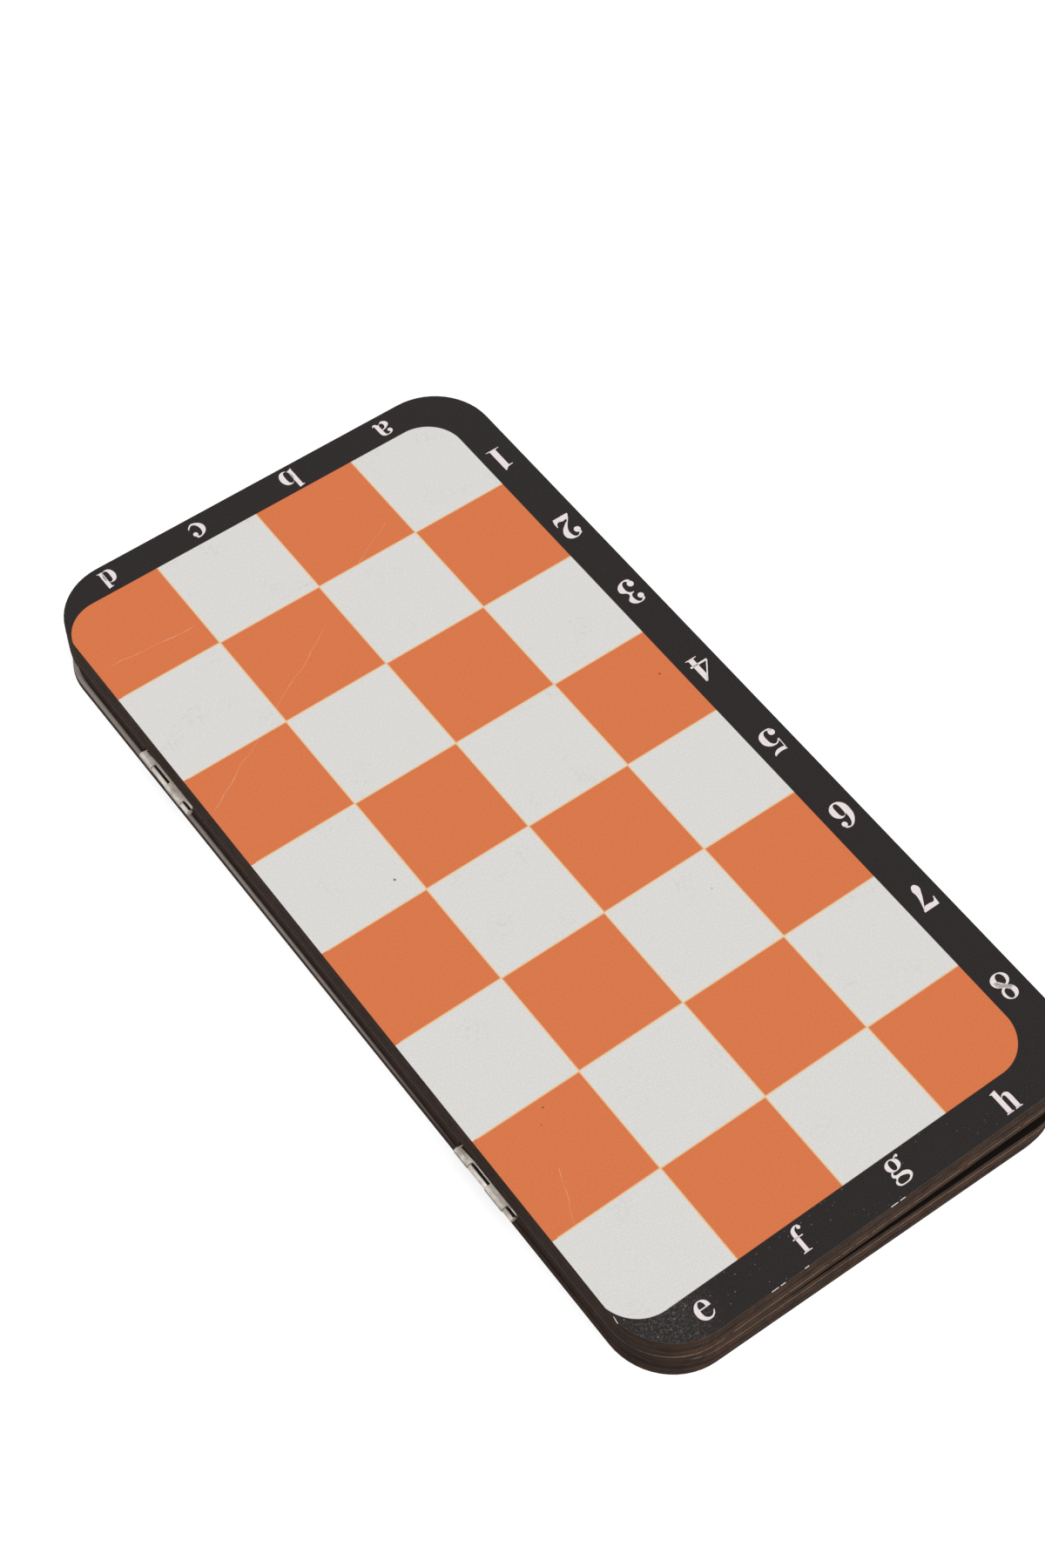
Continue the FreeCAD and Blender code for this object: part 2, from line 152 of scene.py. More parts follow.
# painted shade in the hinge's slots and where the lid's leaf runs into its notch
HINGE_GAP_SHADE = (34, 30, 26)
STEEL_GREY = (186, 183, 178)
IVORY = (228, 218, 198)
IVORY_VEIN = (204, 186, 156)
EBONY = (44, 38, 36)
EBONY_VEIN = (70, 58, 52)
DIE_CREAM = (236, 230, 216)
DIE_VEIN = (222, 212, 192)
PIP_INK = (30, 28, 28)
PAPER = (226, 224, 220)
WORN_INK = (170, 160, 156)


def paint(red, green, blue):
    """A colour written in 0-255 display values, as the linear values that shaders use."""
    linear = []
    for part in (red, green, blue):
        share = part / 255
        linear.append(share / 12.92 if share <= 0.04045 else ((share + 0.055) / 1.055) ** 2.4)
    return (*linear, 1.0)


# ---- node helpers ----


def feed(tree, socket, value):
    """Link a socket to another one, or set its value."""
    if isinstance(value, bpy.types.NodeSocket):
        tree.links.new(value, socket)
    else:
        socket.default_value = value


def calc(tree, operation, *values):
    """A Math node's result."""
    node = tree.nodes.new("ShaderNodeMath")
    node.operation = operation
    for socket, value in zip(node.inputs, values):
        feed(tree, socket, value)
    return node.outputs[0]


def rise(tree, value, start, end):
    """0 before start, 1 after end and a straight rise between them."""
    node = tree.nodes.new("ShaderNodeMapRange")
    feed(tree, node.inputs["Value"], value)
    feed(tree, node.inputs["From Min"], start)
    feed(tree, node.inputs["From Max"], end)
    return node.outputs["Result"]


def both(tree, *masks):
    """Where every mask is set."""
    result = masks[0]
    for mask in masks[1:]:
        result = calc(tree, "MULTIPLY", result, mask)
    return result


def tint(tree, share, first, second):
    """A colour between two others."""
    node = tree.nodes.new("ShaderNodeMix")
    node.data_type = "RGBA"
    feed(tree, node.inputs["Factor"], share)
    feed(tree, node.inputs[6], first)
    feed(tree, node.inputs[7], second)
    return node.outputs[2]


def cover(tree, colour, over, *masks):
    """A colour with another laid over it where every mask is set; over has display values."""
    return tint(tree, both(tree, *masks), colour, paint(*over))


def weighted(tree, first, first_weight, second, second_weight):
    """The sum of two values, each times its weight."""
    first = calc(tree, "MULTIPLY", first, first_weight)
    return calc(tree, "ADD", first, calc(tree, "MULTIPLY", second, second_weight))


def distance(tree, here, x, y):
    """How far a place is from a spot on z = 0."""
    node = tree.nodes.new("ShaderNodeVectorMath")
    node.operation = "DISTANCE"
    feed(tree, node.inputs[0], here)
    node.inputs[1].default_value = (x, y, 0)
    return node.outputs["Value"]


def stretched(tree, vector, scale):
    """A vector scaled along each axis."""
    node = tree.nodes.new("ShaderNodeMapping")
    feed(tree, node.inputs["Vector"], vector)
    node.inputs["Scale"].default_value = scale
    return node.outputs["Vector"]


def in_millimetres(tree):
    """Object coordinates in millimetres."""
    coordinates = tree.nodes.new("ShaderNodeTexCoord")
    return stretched(tree, coordinates.outputs["Object"], (1 / MM, 1 / MM, 1 / MM))


def half_frame(tree, place):
    """Object coordinates in a half's own frame, in millimetres."""
    coordinates = tree.nodes.new("ShaderNodeTexCoord")
    node = tree.nodes.new("ShaderNodeMapping")
    node.vector_type = "TEXTURE"
    tree.links.new(coordinates.outputs["Object"], node.inputs["Vector"])
    node.inputs["Location"].default_value = place.to_translation()
    node.inputs["Rotation"].default_value = place.to_euler("XYZ")
    node.inputs["Scale"].default_value = (MM, MM, MM)
    return node.outputs["Vector"]


def noise(tree, vector, scale, detail=2.0, roughness=0.5, distortion=0.0):
    """Fractal noise, mostly from 0.3 to 0.7, at a scale in cycles per millimetre."""
    node = tree.nodes.new("ShaderNodeTexNoise")
    feed(tree, node.inputs["Vector"], vector)
    node.inputs["Scale"].default_value = scale
    node.inputs["Detail"].default_value = detail
    node.inputs["Roughness"].default_value = roughness
    node.inputs["Distortion"].default_value = distortion
    return node.outputs["Fac"]


def split(tree, vector):
    node = tree.nodes.new("ShaderNodeSeparateXYZ")
    feed(tree, node.inputs[0], vector)
    return node.outputs


def new_group(name, outputs, **starts):
    """A shader node group with a vector input and others that start with the given values.

    A start of None stands for one more vector, and an underscore for a space.
    """
    tree = bpy.data.node_groups.new(name, "ShaderNodeTree")
    sockets = tree.interface
    for label, start in {"Vector": None, **starts}.items():
        kind = "Vector" if start is None else "Color" if isinstance(start, tuple) else "Float"
        label = label.replace("_", " ")
        socket = sockets.new_socket(label, in_out="INPUT", socket_type=f"NodeSocket{kind}")
        if start is not None:
            socket.default_value = start
    for label in outputs:
        kind = "Color" if label == "Color" else "Float"
        sockets.new_socket(label, in_out="OUTPUT", socket_type=f"NodeSocket{kind}")
    given = tree.nodes.new("NodeGroupInput")
    result = tree.nodes.new("NodeGroupOutput")
    return tree, given.outputs, result.inputs


def place_group(tree, group, **values):
    """Place a group in a tree and return its outputs; an underscore stands for a space."""
    node = tree.nodes.new("ShaderNodeGroup")
    node.node_tree = group
    for label, value in values.items():
        feed(tree, node.inputs[label.replace("_", " ")], value)
    return node.outputs


def new_material(name, **settings):
    """A material with a Principled shader and its own values; an underscore stands for a space."""
    material = bpy.data.materials.new(name)
    material.use_nodes = True
    shader = material.node_tree.nodes["Principled BSDF"]
    for label, value in settings.items():
        shader.inputs[label.replace("_", " ")].default_value = value
    return material, material.node_tree, shader


def facing(tree, start, end):
    """1 on a half's broad faces and 0 on its sides, by the normal's height."""
    coordinates = tree.nodes.new("ShaderNodeTexCoord")
    upright = calc(tree, "ABSOLUTE", split(tree, coordinates.outputs["Normal"])[2])
    return rise(tree, upright, start, end)


def dress(tree, shader, colour, height, depth):
    """Give the shader a colour, and a height from 0 to 1 as a bump of a depth in millimetres."""
    feed(tree, shader.inputs["Base Color"], colour)
    node = tree.nodes.new("ShaderNodeBump")
    node.inputs["Strength"].default_value = 1.0
    node.inputs["Distance"].default_value = depth * MM
    feed(tree, node.inputs["Height"], height)
    tree.links.new(node.outputs["Normal"], shader.inputs["Normal"])


# ---- places of the two halves ----


def lid_place():
    """From a half's own frame to the lid, found on the lid's printed sheet."""
    widest = max(nodes["lid_print"].data.polygons, key=lambda face: face.area)
    outward = widest.normal if widest.normal.z > 0 else -widest.normal
    low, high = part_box("lid_print")
    middle = (Vector(low) + Vector(high)) / 2 + outward * PRINT_THICKNESS * MM / 2
    along_x = Vector((outward.z, 0, -outward.x))
    turn = Matrix((along_x, Vector((0, -1, 0)), -outward)).transposed()
    return Matrix.Translation(middle) @ turn.to_4x4()


def turned(degrees, axis="Z"):
    return Matrix.Rotation(math.radians(degrees), 4, axis)


def crooked_place():
    """The lower half's bottom sheet, glued on crooked about the near end of the spine."""
    pivot = Vector((-BOARD_WIDTH / 2, -BOARD_LENGTH / 2, 0)) * MM
    return Matrix.Translation(pivot) @ turned(BASE_SKEW) @ Matrix.Translation(-pivot)


IN_METRES = Matrix.Scale(MM, 4)
TURNED_OUT = turned(180, "X")
PLACES = {"lid": lid_place(), "base": Matrix.Identity(4)}
PRINT_PLACES = {"lid": PLACES["lid"], "base": crooked_place()}
BODIES = {"lid": "lid", "base": "lower_half"}


# ---- effects that several finishes share ----


def squares_group():
    """The chess print: squares in a rounded field, pale seams and a black border."""
    outputs = ("Color", "Border Mask", "White Mask")
    group, given, result = new_group("chess_squares", outputs)
    x, y, _ = split(group, given["Vector"])
    across = calc(group, "DIVIDE", calc(group, "SUBTRACT", x, FIRST_LINE_X), SQUARE)
    along = calc(group, "DIVIDE", calc(group, "SUBTRACT", y, FIRST_LINE_Y), SQUARE)
    count = calc(group, "ADD", calc(group, "FLOOR", across), calc(group, "FLOOR", along))
    white = calc(group, "PINGPONG", count, 1.0)
    squares = tint(group, white, paint(*ORANGE), paint(*WHITE))
    off_lines = [calc(group, "PINGPONG", value, 0.5) for value in (across, along)]
    nearest = calc(group, "MINIMUM", *off_lines)
    off_spine = calc(group, "GREATER_THAN", across, 0.05)
    seam = both(group, rise(group, nearest, *SEAM_SHARES), off_spine, 0.8)
    squares = cover(group, squares, CREAM, seam)
    outside = []
    for value, low, high in ((x, FIELD_SPINE, FIELD_OPENING), (y, FIELD_FAR, FIELD_NEAR)):
        from_middle = calc(group, "ABSOLUTE", calc(group, "SUBTRACT", value, (low + high) / 2))
        past_straight = calc(group, "SUBTRACT", from_middle, (high - low) / 2 - FIELD_CORNER)
        past_straight = calc(group, "MAXIMUM", past_straight, 0.0)
        outside.append(calc(group, "POWER", past_straight, 2.0))
    reach = calc(group, "SQRT", calc(group, "ADD", *outside))
    border = rise(group, reach, FIELD_CORNER - FIELD_BLUR, FIELD_CORNER + FIELD_BLUR)
    feed(group, result["Color"], cover(group, squares, BLACK, border))
    feed(group, result["Border Mask"], border)
    feed(group, result["White Mask"], both(group, white, calc(group, "SUBTRACT", 1.0, border)))
    return group


def specks_group():
    """Scattered specks: a share of the cells of a grid each hold one small round spot."""
    starts = {"Per_Millimetre": 1.0, "Share": 0.3, "Size": 0.2}
    group, given, result = new_group("specks", ("Mask",), **starts)
    cells = group.nodes.new("ShaderNodeTexVoronoi")
    feed(group, cells.inputs["Vector"], given["Vector"])
    feed(group, cells.inputs["Scale"], given["Per Millimetre"])
    chosen, sized, _ = split(group, cells.outputs["Color"])
    held = calc(group, "LESS_THAN", chosen, given["Share"])
    size = calc(group, "MULTIPLY_ADD", sized, 0.8, 0.4)
    size = calc(group, "MULTIPLY", given["Size"], size)
    spot = calc(group, "LESS_THAN", cells.outputs["Distance"], size)
    feed(group, result["Mask"], both(group, held, spot))
    return group


def scratch_group():
    """A hair scratch from one point to another, stronger in places."""
    starts = {"Start": None, "End": None, "Width": 0.1}
    group, given, result = new_group("hair_scratch", ("Mask",), **starts)

    def vector(operation, *values):
        node = group.nodes.new("ShaderNodeVectorMath")
        node.operation = operation
        for socket, value in zip(node.inputs, values):
            feed(group, socket, value)
        return node.outputs["Value" if operation in ("DOT_PRODUCT", "LENGTH") else "Vector"]

    flat = vector("MULTIPLY", given["Vector"], (1, 1, 0))
    line = vector("SUBTRACT", given["End"], given["Start"])
    here = vector("SUBTRACT", flat, given["Start"])
    unit = vector("NORMALIZE", line)
    share = calc(group, "DIVIDE", vector("DOT_PRODUCT", here, unit), vector("LENGTH", line))
    between = both(group, rise(group, share, 0.0, 0.06), rise(group, share, 1.0, 0.94))
    wander = calc(group, "MULTIPLY_ADD", noise(group, flat, 0.12, 1.0), 2.0, -1.0)
    beside = split(group, vector("CROSS_PRODUCT", unit, here))[2]
    away = calc(group, "ABSOLUTE", calc(group, "ADD", beside, wander))
    near = rise(group, away, given["Width"], calc(group, "MULTIPLY", given["Width"], 0.4))
    patchy = rise(group, noise(group, flat, 0.25), 0.36, 0.62)
    strength = calc(group, "MAXIMUM", patchy, 0.4)
    feed(group, result["Mask"], both(group, near, between, strength))
    return group


def fibres_group():
    """Fibreboard: sheets cut by heat on their edges, pale and fine-grained on their faces."""
    starts = {"Face": 0.0, "Plain_Face": paint(*BOARD_FACE)}
    group, given, result = new_group("fibreboard_grain", ("Color", "Height"), **starts)
    x, _, z = split(group, given["Vector"])
    bands = noise(group, stretched(group, given["Vector"], (0.06, 0.06, 1.3)), 1.0, 3.0, 0.6)
    fibres = noise(group, stretched(group, given["Vector"], (0.25, 0.25, 7.0)), 1.0, 3.0, 0.65)
    blotches = noise(group, given["Vector"], 0.22, 3.0, 0.6)
    sheet = group.nodes.new("ShaderNodeTexWhiteNoise")
    sheet.noise_dimensions = "1D"
    level = calc(group, "DIVIDE", calc(group, "SUBTRACT", z, PRINT_THICKNESS), SHEET_THICKNESS)
    feed(group, sheet.inputs["W"], calc(group, "FLOOR", level))
    share = weighted(group, bands, 0.5, fibres, 0.5)
    blotches = calc(group, "MULTIPLY", calc(group, "SUBTRACT", blotches, 0.5), 0.5)
    share = calc(group, "ADD", share, blotches)
    sheet_shift = calc(group, "MULTIPLY_ADD", sheet.outputs["Value"], 0.12, -0.06)
    share = calc(group, "ADD", share, sheet_shift)
    # towards the spine, and there towards the mating face, the edges stay char-dark: painted shade for
    # the shaded spine side and the seam
    from_spine = calc(group, "MAXIMUM", rise(group, x, *SPINE_SHADE_X), rise(group, z, *SEAM_SHADE_Z))
    browned = both(group, rise(group, share, 0.34, 0.66), from_spine)
    edge = cover(group, paint(*BOARD_CHAR), BOARD_BROWN, browned)
    felt = noise(group, given["Vector"], 2.4, 4.0, 0.7)
    face = cover(group, given["Plain Face"], BOARD_CHAR, rise(group, felt, 0.72, 0.3), 0.3)
    feed(group, result["Color"], tint(group, given["Face"], edge, face))
    feed(group, result["Height"], weighted(group, fibres, 0.7, felt, 0.3))
    return group


def metal_group():
    """Thin plating with fine scratches along one axis, in bright and dull clouds that are partly
    rubbed wear and partly painted reflections of darker surroundings.
    """
    outputs = ("Color", "Roughness", "Height")
    group, given, result = new_group("plating_wear_and_reflections", outputs, Bright=paint(*NICKEL_BRIGHT))
    clouds = noise(group, given["Vector"], 0.35)
    lines = noise(group, stretched(group, given["Vector"], (5.0, 0.5, 5.0)), 1.0, 3.0, 0.6)
    # bright and dull clouds: partly wear, partly painted reflection
    share = rise(group, weighted(group, clouds, 0.6, lines, 0.4), 0.40, 0.56)
    feed(group, result["Color"], tint(group, share, paint(*NICKEL_DULL_AND_REFLECTION), given["Bright"]))
    feed(group, result["Roughness"], calc(group, "MULTIPLY_ADD", share, -0.16, 0.52))
    feed(group, result["Height"], lines)
    return group


SQUARES = squares_group()
SPECKS = specks_group()
SCRATCH = scratch_group()
FIBRES = fibres_group()
PLATING = metal_group()

# wear on a half's printed face: hair scratches (start, end, width), dark spots (x, y, radius)
SCRATCHES = (
    ((-64, -47), (-8, -79), 0.16),
    ((-61, -99.5), (-36, -97.4), 0.16),
    ((-58, 90.5), (-51.8, 76.8), 0.13),
    ((8, -90), (22, -97), 0.10),
)
SPOTS = (
    (-38.7, -6.1, 0.42),
    (49.1, -16.6, 0.34),
    (-46.2, 63.0, 0.3),
    (-49.0, 66.3, 0.22),
    (20.5, 40.2, 0.2),
)
SCUFFED_CORNER = (-54.5, 120.0)


# ---- finishes ----


def specks(tree, here, per_millimetre, share, size):
    """A mask of scattered specks."""
    looks = {"Per_Millimetre": per_millimetre, "Share": share, "Size": size}
    return place_group(tree, SPECKS, Vector=here, **looks)["Mask"]


def printed_face(half):
    """The chess print on a half's outside, with orange peel, dust, smudges and scratches."""
    material, tree, shader = new_material(f"{half}_chess_print", Specular_IOR_Level=0.16)
    here = half_frame(tree, PRINT_PLACES[half])
    print_parts = place_group(tree, SQUARES, Vector=here)
    colour = print_parts["Color"]
    border = print_parts["Border Mask"]
    white = print_parts["White Mask"]
    peel = noise(tree, here, 2.4, 3.0, 0.6)
    colour = cover(tree, colour, PEEL_SHADE, rise(tree, peel, 0.62, 0.38), 0.11)
    clouds = rise(tree, noise(tree, here, 0.09), 0.56, 0.70)
    streaks = rise(tree, noise(tree, here, 0.8, 4.0, 0.75), 0.50, 0.66)
    colour = cover(tree, colour, SMUDGE, clouds, streaks, white, 0.3)
    colour = cover(tree, colour, FINE_DIRT, specks(tree, here, 0.9, 0.10, 0.09), white, 0.3)
    away = distance(tree, here, *SCUFFED_CORNER)
    dusty = both(tree, rise(tree, away, 130.0, 0.0), 0.5)
    colour = cover(tree, colour, DUST, specks(tree, here, 1.2, 0.20, 0.14), border, dusty)
    scuffs = rise(tree, noise(tree, here, 2.0, 4.0, 0.8, 1.5), 0.53, 0.64)
    colour = cover(tree, colour, DUST, scuffs, rise(tree, away, 12.5, 4.0), border, 0.34)
    for start, end, width in SCRATCHES:
        ends = {"Start": (*start, 0), "End": (*end, 0)}
        hair = place_group(tree, SCRATCH, Vector=here, Width=width, **ends)["Mask"]
        colour = cover(tree, colour, BARE_HAIR, hair, 0.27)
    for spot_x, spot_y, size in SPOTS:
        mark = rise(tree, distance(tree, here, spot_x, spot_y), size, size * 0.6)
        colour = cover(tree, colour, DARK_SPOT, mark, 0.8)
    colour = tint(tree, facing(tree, 0.5, 0.8), paint(*BOARD_CHAR), colour)
    dress(tree, shader, colour, peel, 0.03)
    feed(tree, shader.inputs["Roughness"], calc(tree, "MULTIPLY_ADD", peel, 0.25, 0.38))
    return material


def ledge_light_and_shade(tree, here):
    """Where the crooked bottom sheet stands out at the spine: its top and the upper band of its side
    pale as painted light, its root by the wall dark as painted shade.
    """
    x, y, z = split(tree, here)
    upward = facing(tree, *BROAD)
    # by the wall the ledge's top keeps the dark edge colour: painted shade
    off_root = calc(tree, "MAXIMUM", rise(tree, x, *LEDGE_ROOT_X), rise(tree, y, *LEDGE_FAR_Y))
    top = both(tree, upward, off_root)
    sideways = calc(tree, "SUBTRACT", 1.0, upward)
    # the upper band of the ledge's side is made pale: a painted highlight
    rim = both(tree, sideways, rise(tree, z, *LEDGE_RIM_Z), rise(tree, x, *LEDGE_RIM_X))
    return both(tree, calc(tree, "MAXIMUM", top, rim), rise(tree, y, *LEDGE_START_Y))


def board(name, half, face, bare=None):
    """Fibreboard of a half; bare masks where the plain face shows, or all broad faces show it."""
    material, tree, shader = new_material(f"{half}_{name}", Roughness=0.85, Specular_IOR_Level=0.05)
    here = half_frame(tree, PLACES[half])
    shown = bare(tree, here) if bare else facing(tree, *BROAD)
    grain = place_group(tree, FIBRES, Vector=here, Face=shown, Plain_Face=paint(*face))
    dress(tree, shader, grain["Color"], grain["Height"], 0.10)
    return material


def glue(name, half, colour, least):
    """Dried glue in a seam; least is how much of the noise leaves it bare."""
    material, tree, shader = new_material(f"{half}_{name}", Roughness=0.6, Specular_IOR_Level=0.25)
    here = half_frame(tree, PLACES[half])
    patches = rise(tree, noise(tree, here, 0.35, 3.0, 0.7), least, least + 0.10)
    # towards the spine the glue gives way to the char colour: painted shade
    glue_outside_shade = rise(tree, split(tree, here)[0], *GLUE_OUT_OF_SHADE_X)
    colour = cover(tree, paint(*BOARD_CHAR), colour, patches, glue_outside_shade)
    feed(tree, shader.inputs["Base Color"], colour)
    return material


def finger_slot_shade(tree, here):
    """Painted shade on a base leaf's fingers, where they pass the plate of a lid's leaf."""
    x, _, _ = split(tree, here)
    past_pin = rise(tree, x, PIN_X - 0.05, PIN_X + 0.1)
    return both(tree, past_pin, rise(tree, x, PIN_X + 1.5, PIN_X + 1.2))


def notch_shade(tree, here):
    """Painted shade on a lid's leaf beside the board, where it runs into the notch: widest near its
    far end, but not on its far edge.
    """
    x, y, _ = split(tree, here)
    far_end = HINGE_CENTRES["far"] + BARREL / 2
    from_end = calc(tree, "FLOORED_MODULO", calc(tree, "SUBTRACT", far_end, y), HINGE_SPACING)
    narrowing = calc(tree, "MULTIPLY", rise(tree, from_end, 0.4, 5.0), 0.37)
    cleaner = calc(tree, "MULTIPLY", calc(tree, "GREATER_THAN", y, 0.0), 0.3)
    edge = calc(tree, "ADD", calc(tree, "ADD", narrowing, cleaner), PIN_X + 0.59)
    past = rise(tree, calc(tree, "SUBTRACT", x, edge), 0.0, 0.08)
    return both(tree, past, rise(tree, from_end, 0.3, 0.45), rise(tree, x, PIN_X + 2.2, PIN_X + 1.8))


def plated(name, bright, painted_shade=None):
    """Thin plating, darkened on the barrels' outer side as painted shade; an optional mask lays dark
    painted shade where the hinge's parts meet.
    """
    material, tree, shader = new_material(name, Metallic=0.4)
    here = in_millimetres(tree)
    metal = place_group(tree, PLATING, Vector=here, Bright=paint(*bright))
    x, _, _ = split(tree, here)
    # the barrels' outer side darkened: painted shade
    colour = cover(tree, metal["Color"], BARREL_SIDE_SHADE, rise(tree, x, PIN_X - 0.82, PIN_X - 1.0))
    # dark painted shade in the hinge's slots and notch
    if painted_shade:
        colour = cover(tree, colour, HINGE_GAP_SHADE, painted_shade(tree, here))
    feed(tree, shader.inputs["Roughness"], metal["Roughness"])
    dress(tree, shader, colour, metal["Height"], 0.015)
    return material


def playing_field(half):
    """A black field with six long points from each end, orange and white by turns."""
    looks = {"Specular_IOR_Level": 0.32, "Roughness": 0.5}
    material, tree, shader = new_material(f"{half}_playing_field", **looks)
    here = half_frame(tree, PLACES[half])
    x, y, _ = split(tree, here)
    column = calc(tree, "DIVIDE", calc(tree, "ADD", x, TRAY_HALF_WIDTH), POINT_PITCH)
    from_middle = calc(tree, "PINGPONG", calc(tree, "ADD", column, 0.5), 0.5)
    from_middle = calc(tree, "MULTIPLY", from_middle, 2.0)
    depth = calc(tree, "SUBTRACT", TRAY_HALF_LENGTH, calc(tree, "ABSOLUTE", y))
    room = calc(tree, "SUBTRACT", 1.0, calc(tree, "DIVIDE", depth, POINT_LENGTH))
    room = calc(tree, "MULTIPLY", room, 0.94)
    inside = calc(tree, "SUBTRACT", room, from_middle)
    point = rise(tree, inside, 0.0, 0.012)
    outline = rise(tree, inside, 0.055, 0.043)
    turn = calc(tree, "FLOOR", column)
    turn = calc(tree, "ADD", turn, calc(tree, "GREATER_THAN", y, 0.0))
    colour = tint(tree, calc(tree, "PINGPONG", turn, 1.0), paint(*ORANGE), paint(*WHITE))
    colour = cover(tree, colour, CREAM, outline, 0.6)
    peel = noise(tree, here, 1.7, 3.0, 0.6)
    colour = tint(tree, point, paint(*BLACK), colour)
    colour = cover(tree, colour, PEEL_SHADE, rise(tree, peel, 0.62, 0.36), 0.10)
    colour = cover(tree, colour, DUST, specks(tree, here, 0.9, 0.2, 0.12), 0.3)
    dress(tree, shader, colour, peel, 0.045)
    return material


def moulded(name, colour, vein):
    """Moulded plastic with faint clouds, for checkers and dice."""
    material, tree, shader = new_material(name, Roughness=0.34, Specular_IOR_Level=0.45)
    here = in_millimetres(tree)
    clouds = noise(tree, here, 0.16, 4.0, 0.6, 1.5)
    streaks = rise(tree, noise(tree, here, 0.5, 3.0, 0.6, 2.0), 0.45, 0.62)
    veined = cover(tree, paint(*colour), vein, streaks, rise(tree, clouds, 0.35, 0.65), 0.5)
    dress(tree, shader, veined, noise(tree, here, 3.0), 0.01)
    return material


def ink(name, colour):
    """A coat of ink with slight unevenness."""
    material, tree, shader = new_material(name, Roughness=0.5, Specular_IOR_Level=0.3)
    here = in_millimetres(tree)
    peel = noise(tree, here, 1.7, 3.0, 0.6)
    worn = cover(tree, paint(*colour), WORN_INK, rise(tree, peel, 0.58, 0.72), 0.35)
    dress(tree, shader, worn, peel, 0.03)
    return material


def finish(node, material):
    mesh = nodes[node].data
    mesh.materials.clear()
    mesh.materials.append(material)


HINGE_NICKEL = {
    "lid": plated("lid_hinge_nickel", NICKEL_BRIGHT, notch_shade),
    "base": plated("base_hinge_nickel", NICKEL_BRIGHT, finger_slot_shade),
}
SCREW_STEEL = plated("screw_steel", STEEL_GREY)
LIGHT_CHECKER = moulded("light_checker", IVORY, IVORY_VEIN)
DARK_CHECKER = moulded("dark_checker", EBONY, EBONY_VEIN)
DIE_IVORY = moulded("die_ivory", DIE_CREAM, DIE_VEIN)
PIP_BLACK = ink("die_pips", PIP_INK)
LETTER_INK = ink("letter_ink", LETTER_WHITE)
PAPER_CORE = ink("paper_core", PAPER)
STRONG_GLUE = {half: glue("strong_glue", half, GLUE, 0.36) for half in PLACES}
FAINT_GLUE = {half: glue("faint_glue", half, FAINT_SEAM, 0.46) for half in PLACES}

for half in PLACES:
    finish(f"{half}_print", printed_face(half))
    fibreboard = board("fibreboard", half, BOARD_FACE)
    for layer in ("board", "outer_ring", "middle_ring"):
        finish(f"{half}_{layer}", fibreboard)
    # the rims' mating faces near black: black paint that stands in for the shade in the gap between
    # the halves
    finish(f"{half}_rim", board("black_shade_rim", half, RIM_BLACK_SHADE))
    finish(f"{half}_field", playing_field(half))
finish("base_board", board("crooked_board", "base", LIT_LEDGE_FACE, ledge_light_and_shade))
for hinge in HINGE_CENTRES:
    finish(f"{hinge}_hinge_pin", HINGE_NICKEL["lid"])
for number in range(1, 16):
    finish(f"light_checker_{number:02d}", LIGHT_CHECKER)
    finish(f"dark_checker_{number:02d}", DARK_CHECKER)


# ---- making and placing pieces ----

TOLERANCE = 0.01


def edit():
    bpy.ops.object.mode_set(mode="EDIT")


def leave_edit():
    bpy.ops.object.mode_set(mode="OBJECT")


def select_mesh(action="SELECT"):
    bpy.ops.mesh.select_all(action=action)


def apply_transform():
    bpy.ops.object.transform_apply(location=True, rotation=True, scale=True)


def push_out(x, y, z):
    """Extrude what is selected by a step in millimetres."""
    bpy.ops.mesh.extrude_region_move(TRANSFORM_OT_translate={"value": (x, y, z)})


def only(piece):
    bpy.ops.object.select_all(action="DESELECT")
    piece.select_set(True)
    bpy.context.view_layer.objects.active = piece


def select_faces(piece, wanted):
    """In edit mode, select the faces for which wanted(face) is true."""
    bpy.ops.mesh.select_mode(type="FACE")
    select_mesh("DESELECT")
    leave_edit()
    for face in piece.data.polygons:
        face.select = wanted(face)
    edit()


def select_edges(piece, wanted):
    """In edit mode, select the edges for which wanted(one end, other end) is true."""
    bpy.ops.mesh.select_mode(type="EDGE")
    select_mesh("DESELECT")
    leave_edit()
    points = piece.data.vertices
    for edge in piece.data.edges:
        edge.select = wanted(*(points[end].co for end in edge.vertices))
    edit()


def new_block(name, low, high):
    """A block between two corners, ready in edit mode."""
    low = Vector(low)
    high = Vector(high)
    bpy.ops.mesh.primitive_cube_add(size=1.0, location=(low + high) / 2)
    block = bpy.context.object
    block.name = name
    block.scale = high - low
    apply_transform()
    edit()
    return block


def apply_modifier(piece, kind, **settings):
    only(piece)
    modifier = piece.modifiers.new(kind.lower(), kind)
    for label, value in settings.items():
        setattr(modifier, label, value)
    bpy.ops.object.modifier_apply(modifier=modifier.name)


def cut_away(piece, cutter, **settings):
    """Cut a piece by another, which is then gone."""
    how = {"operation": "DIFFERENCE", "object": cutter, "solver": "EXACT", **settings}
    apply_modifier(piece, "BOOLEAN", **how)
    bpy.data.objects.remove(cutter)


def soften(piece, width, angle=35, segments=2):
    """Round the sharp edges a little and shade the rest smooth."""
    limit = {"limit_method": "ANGLE", "angle_limit": math.radians(angle)}
    apply_modifier(piece, "BEVEL", width=width, segments=segments, **limit)
    bpy.ops.object.shade_smooth_by_angle(angle=math.radians(40))


def copy_of(piece, name):
    twin = piece.copy()
    twin.data = piece.data.copy()
    twin.name = name
    bpy.context.collection.objects.link(twin)
    return twin


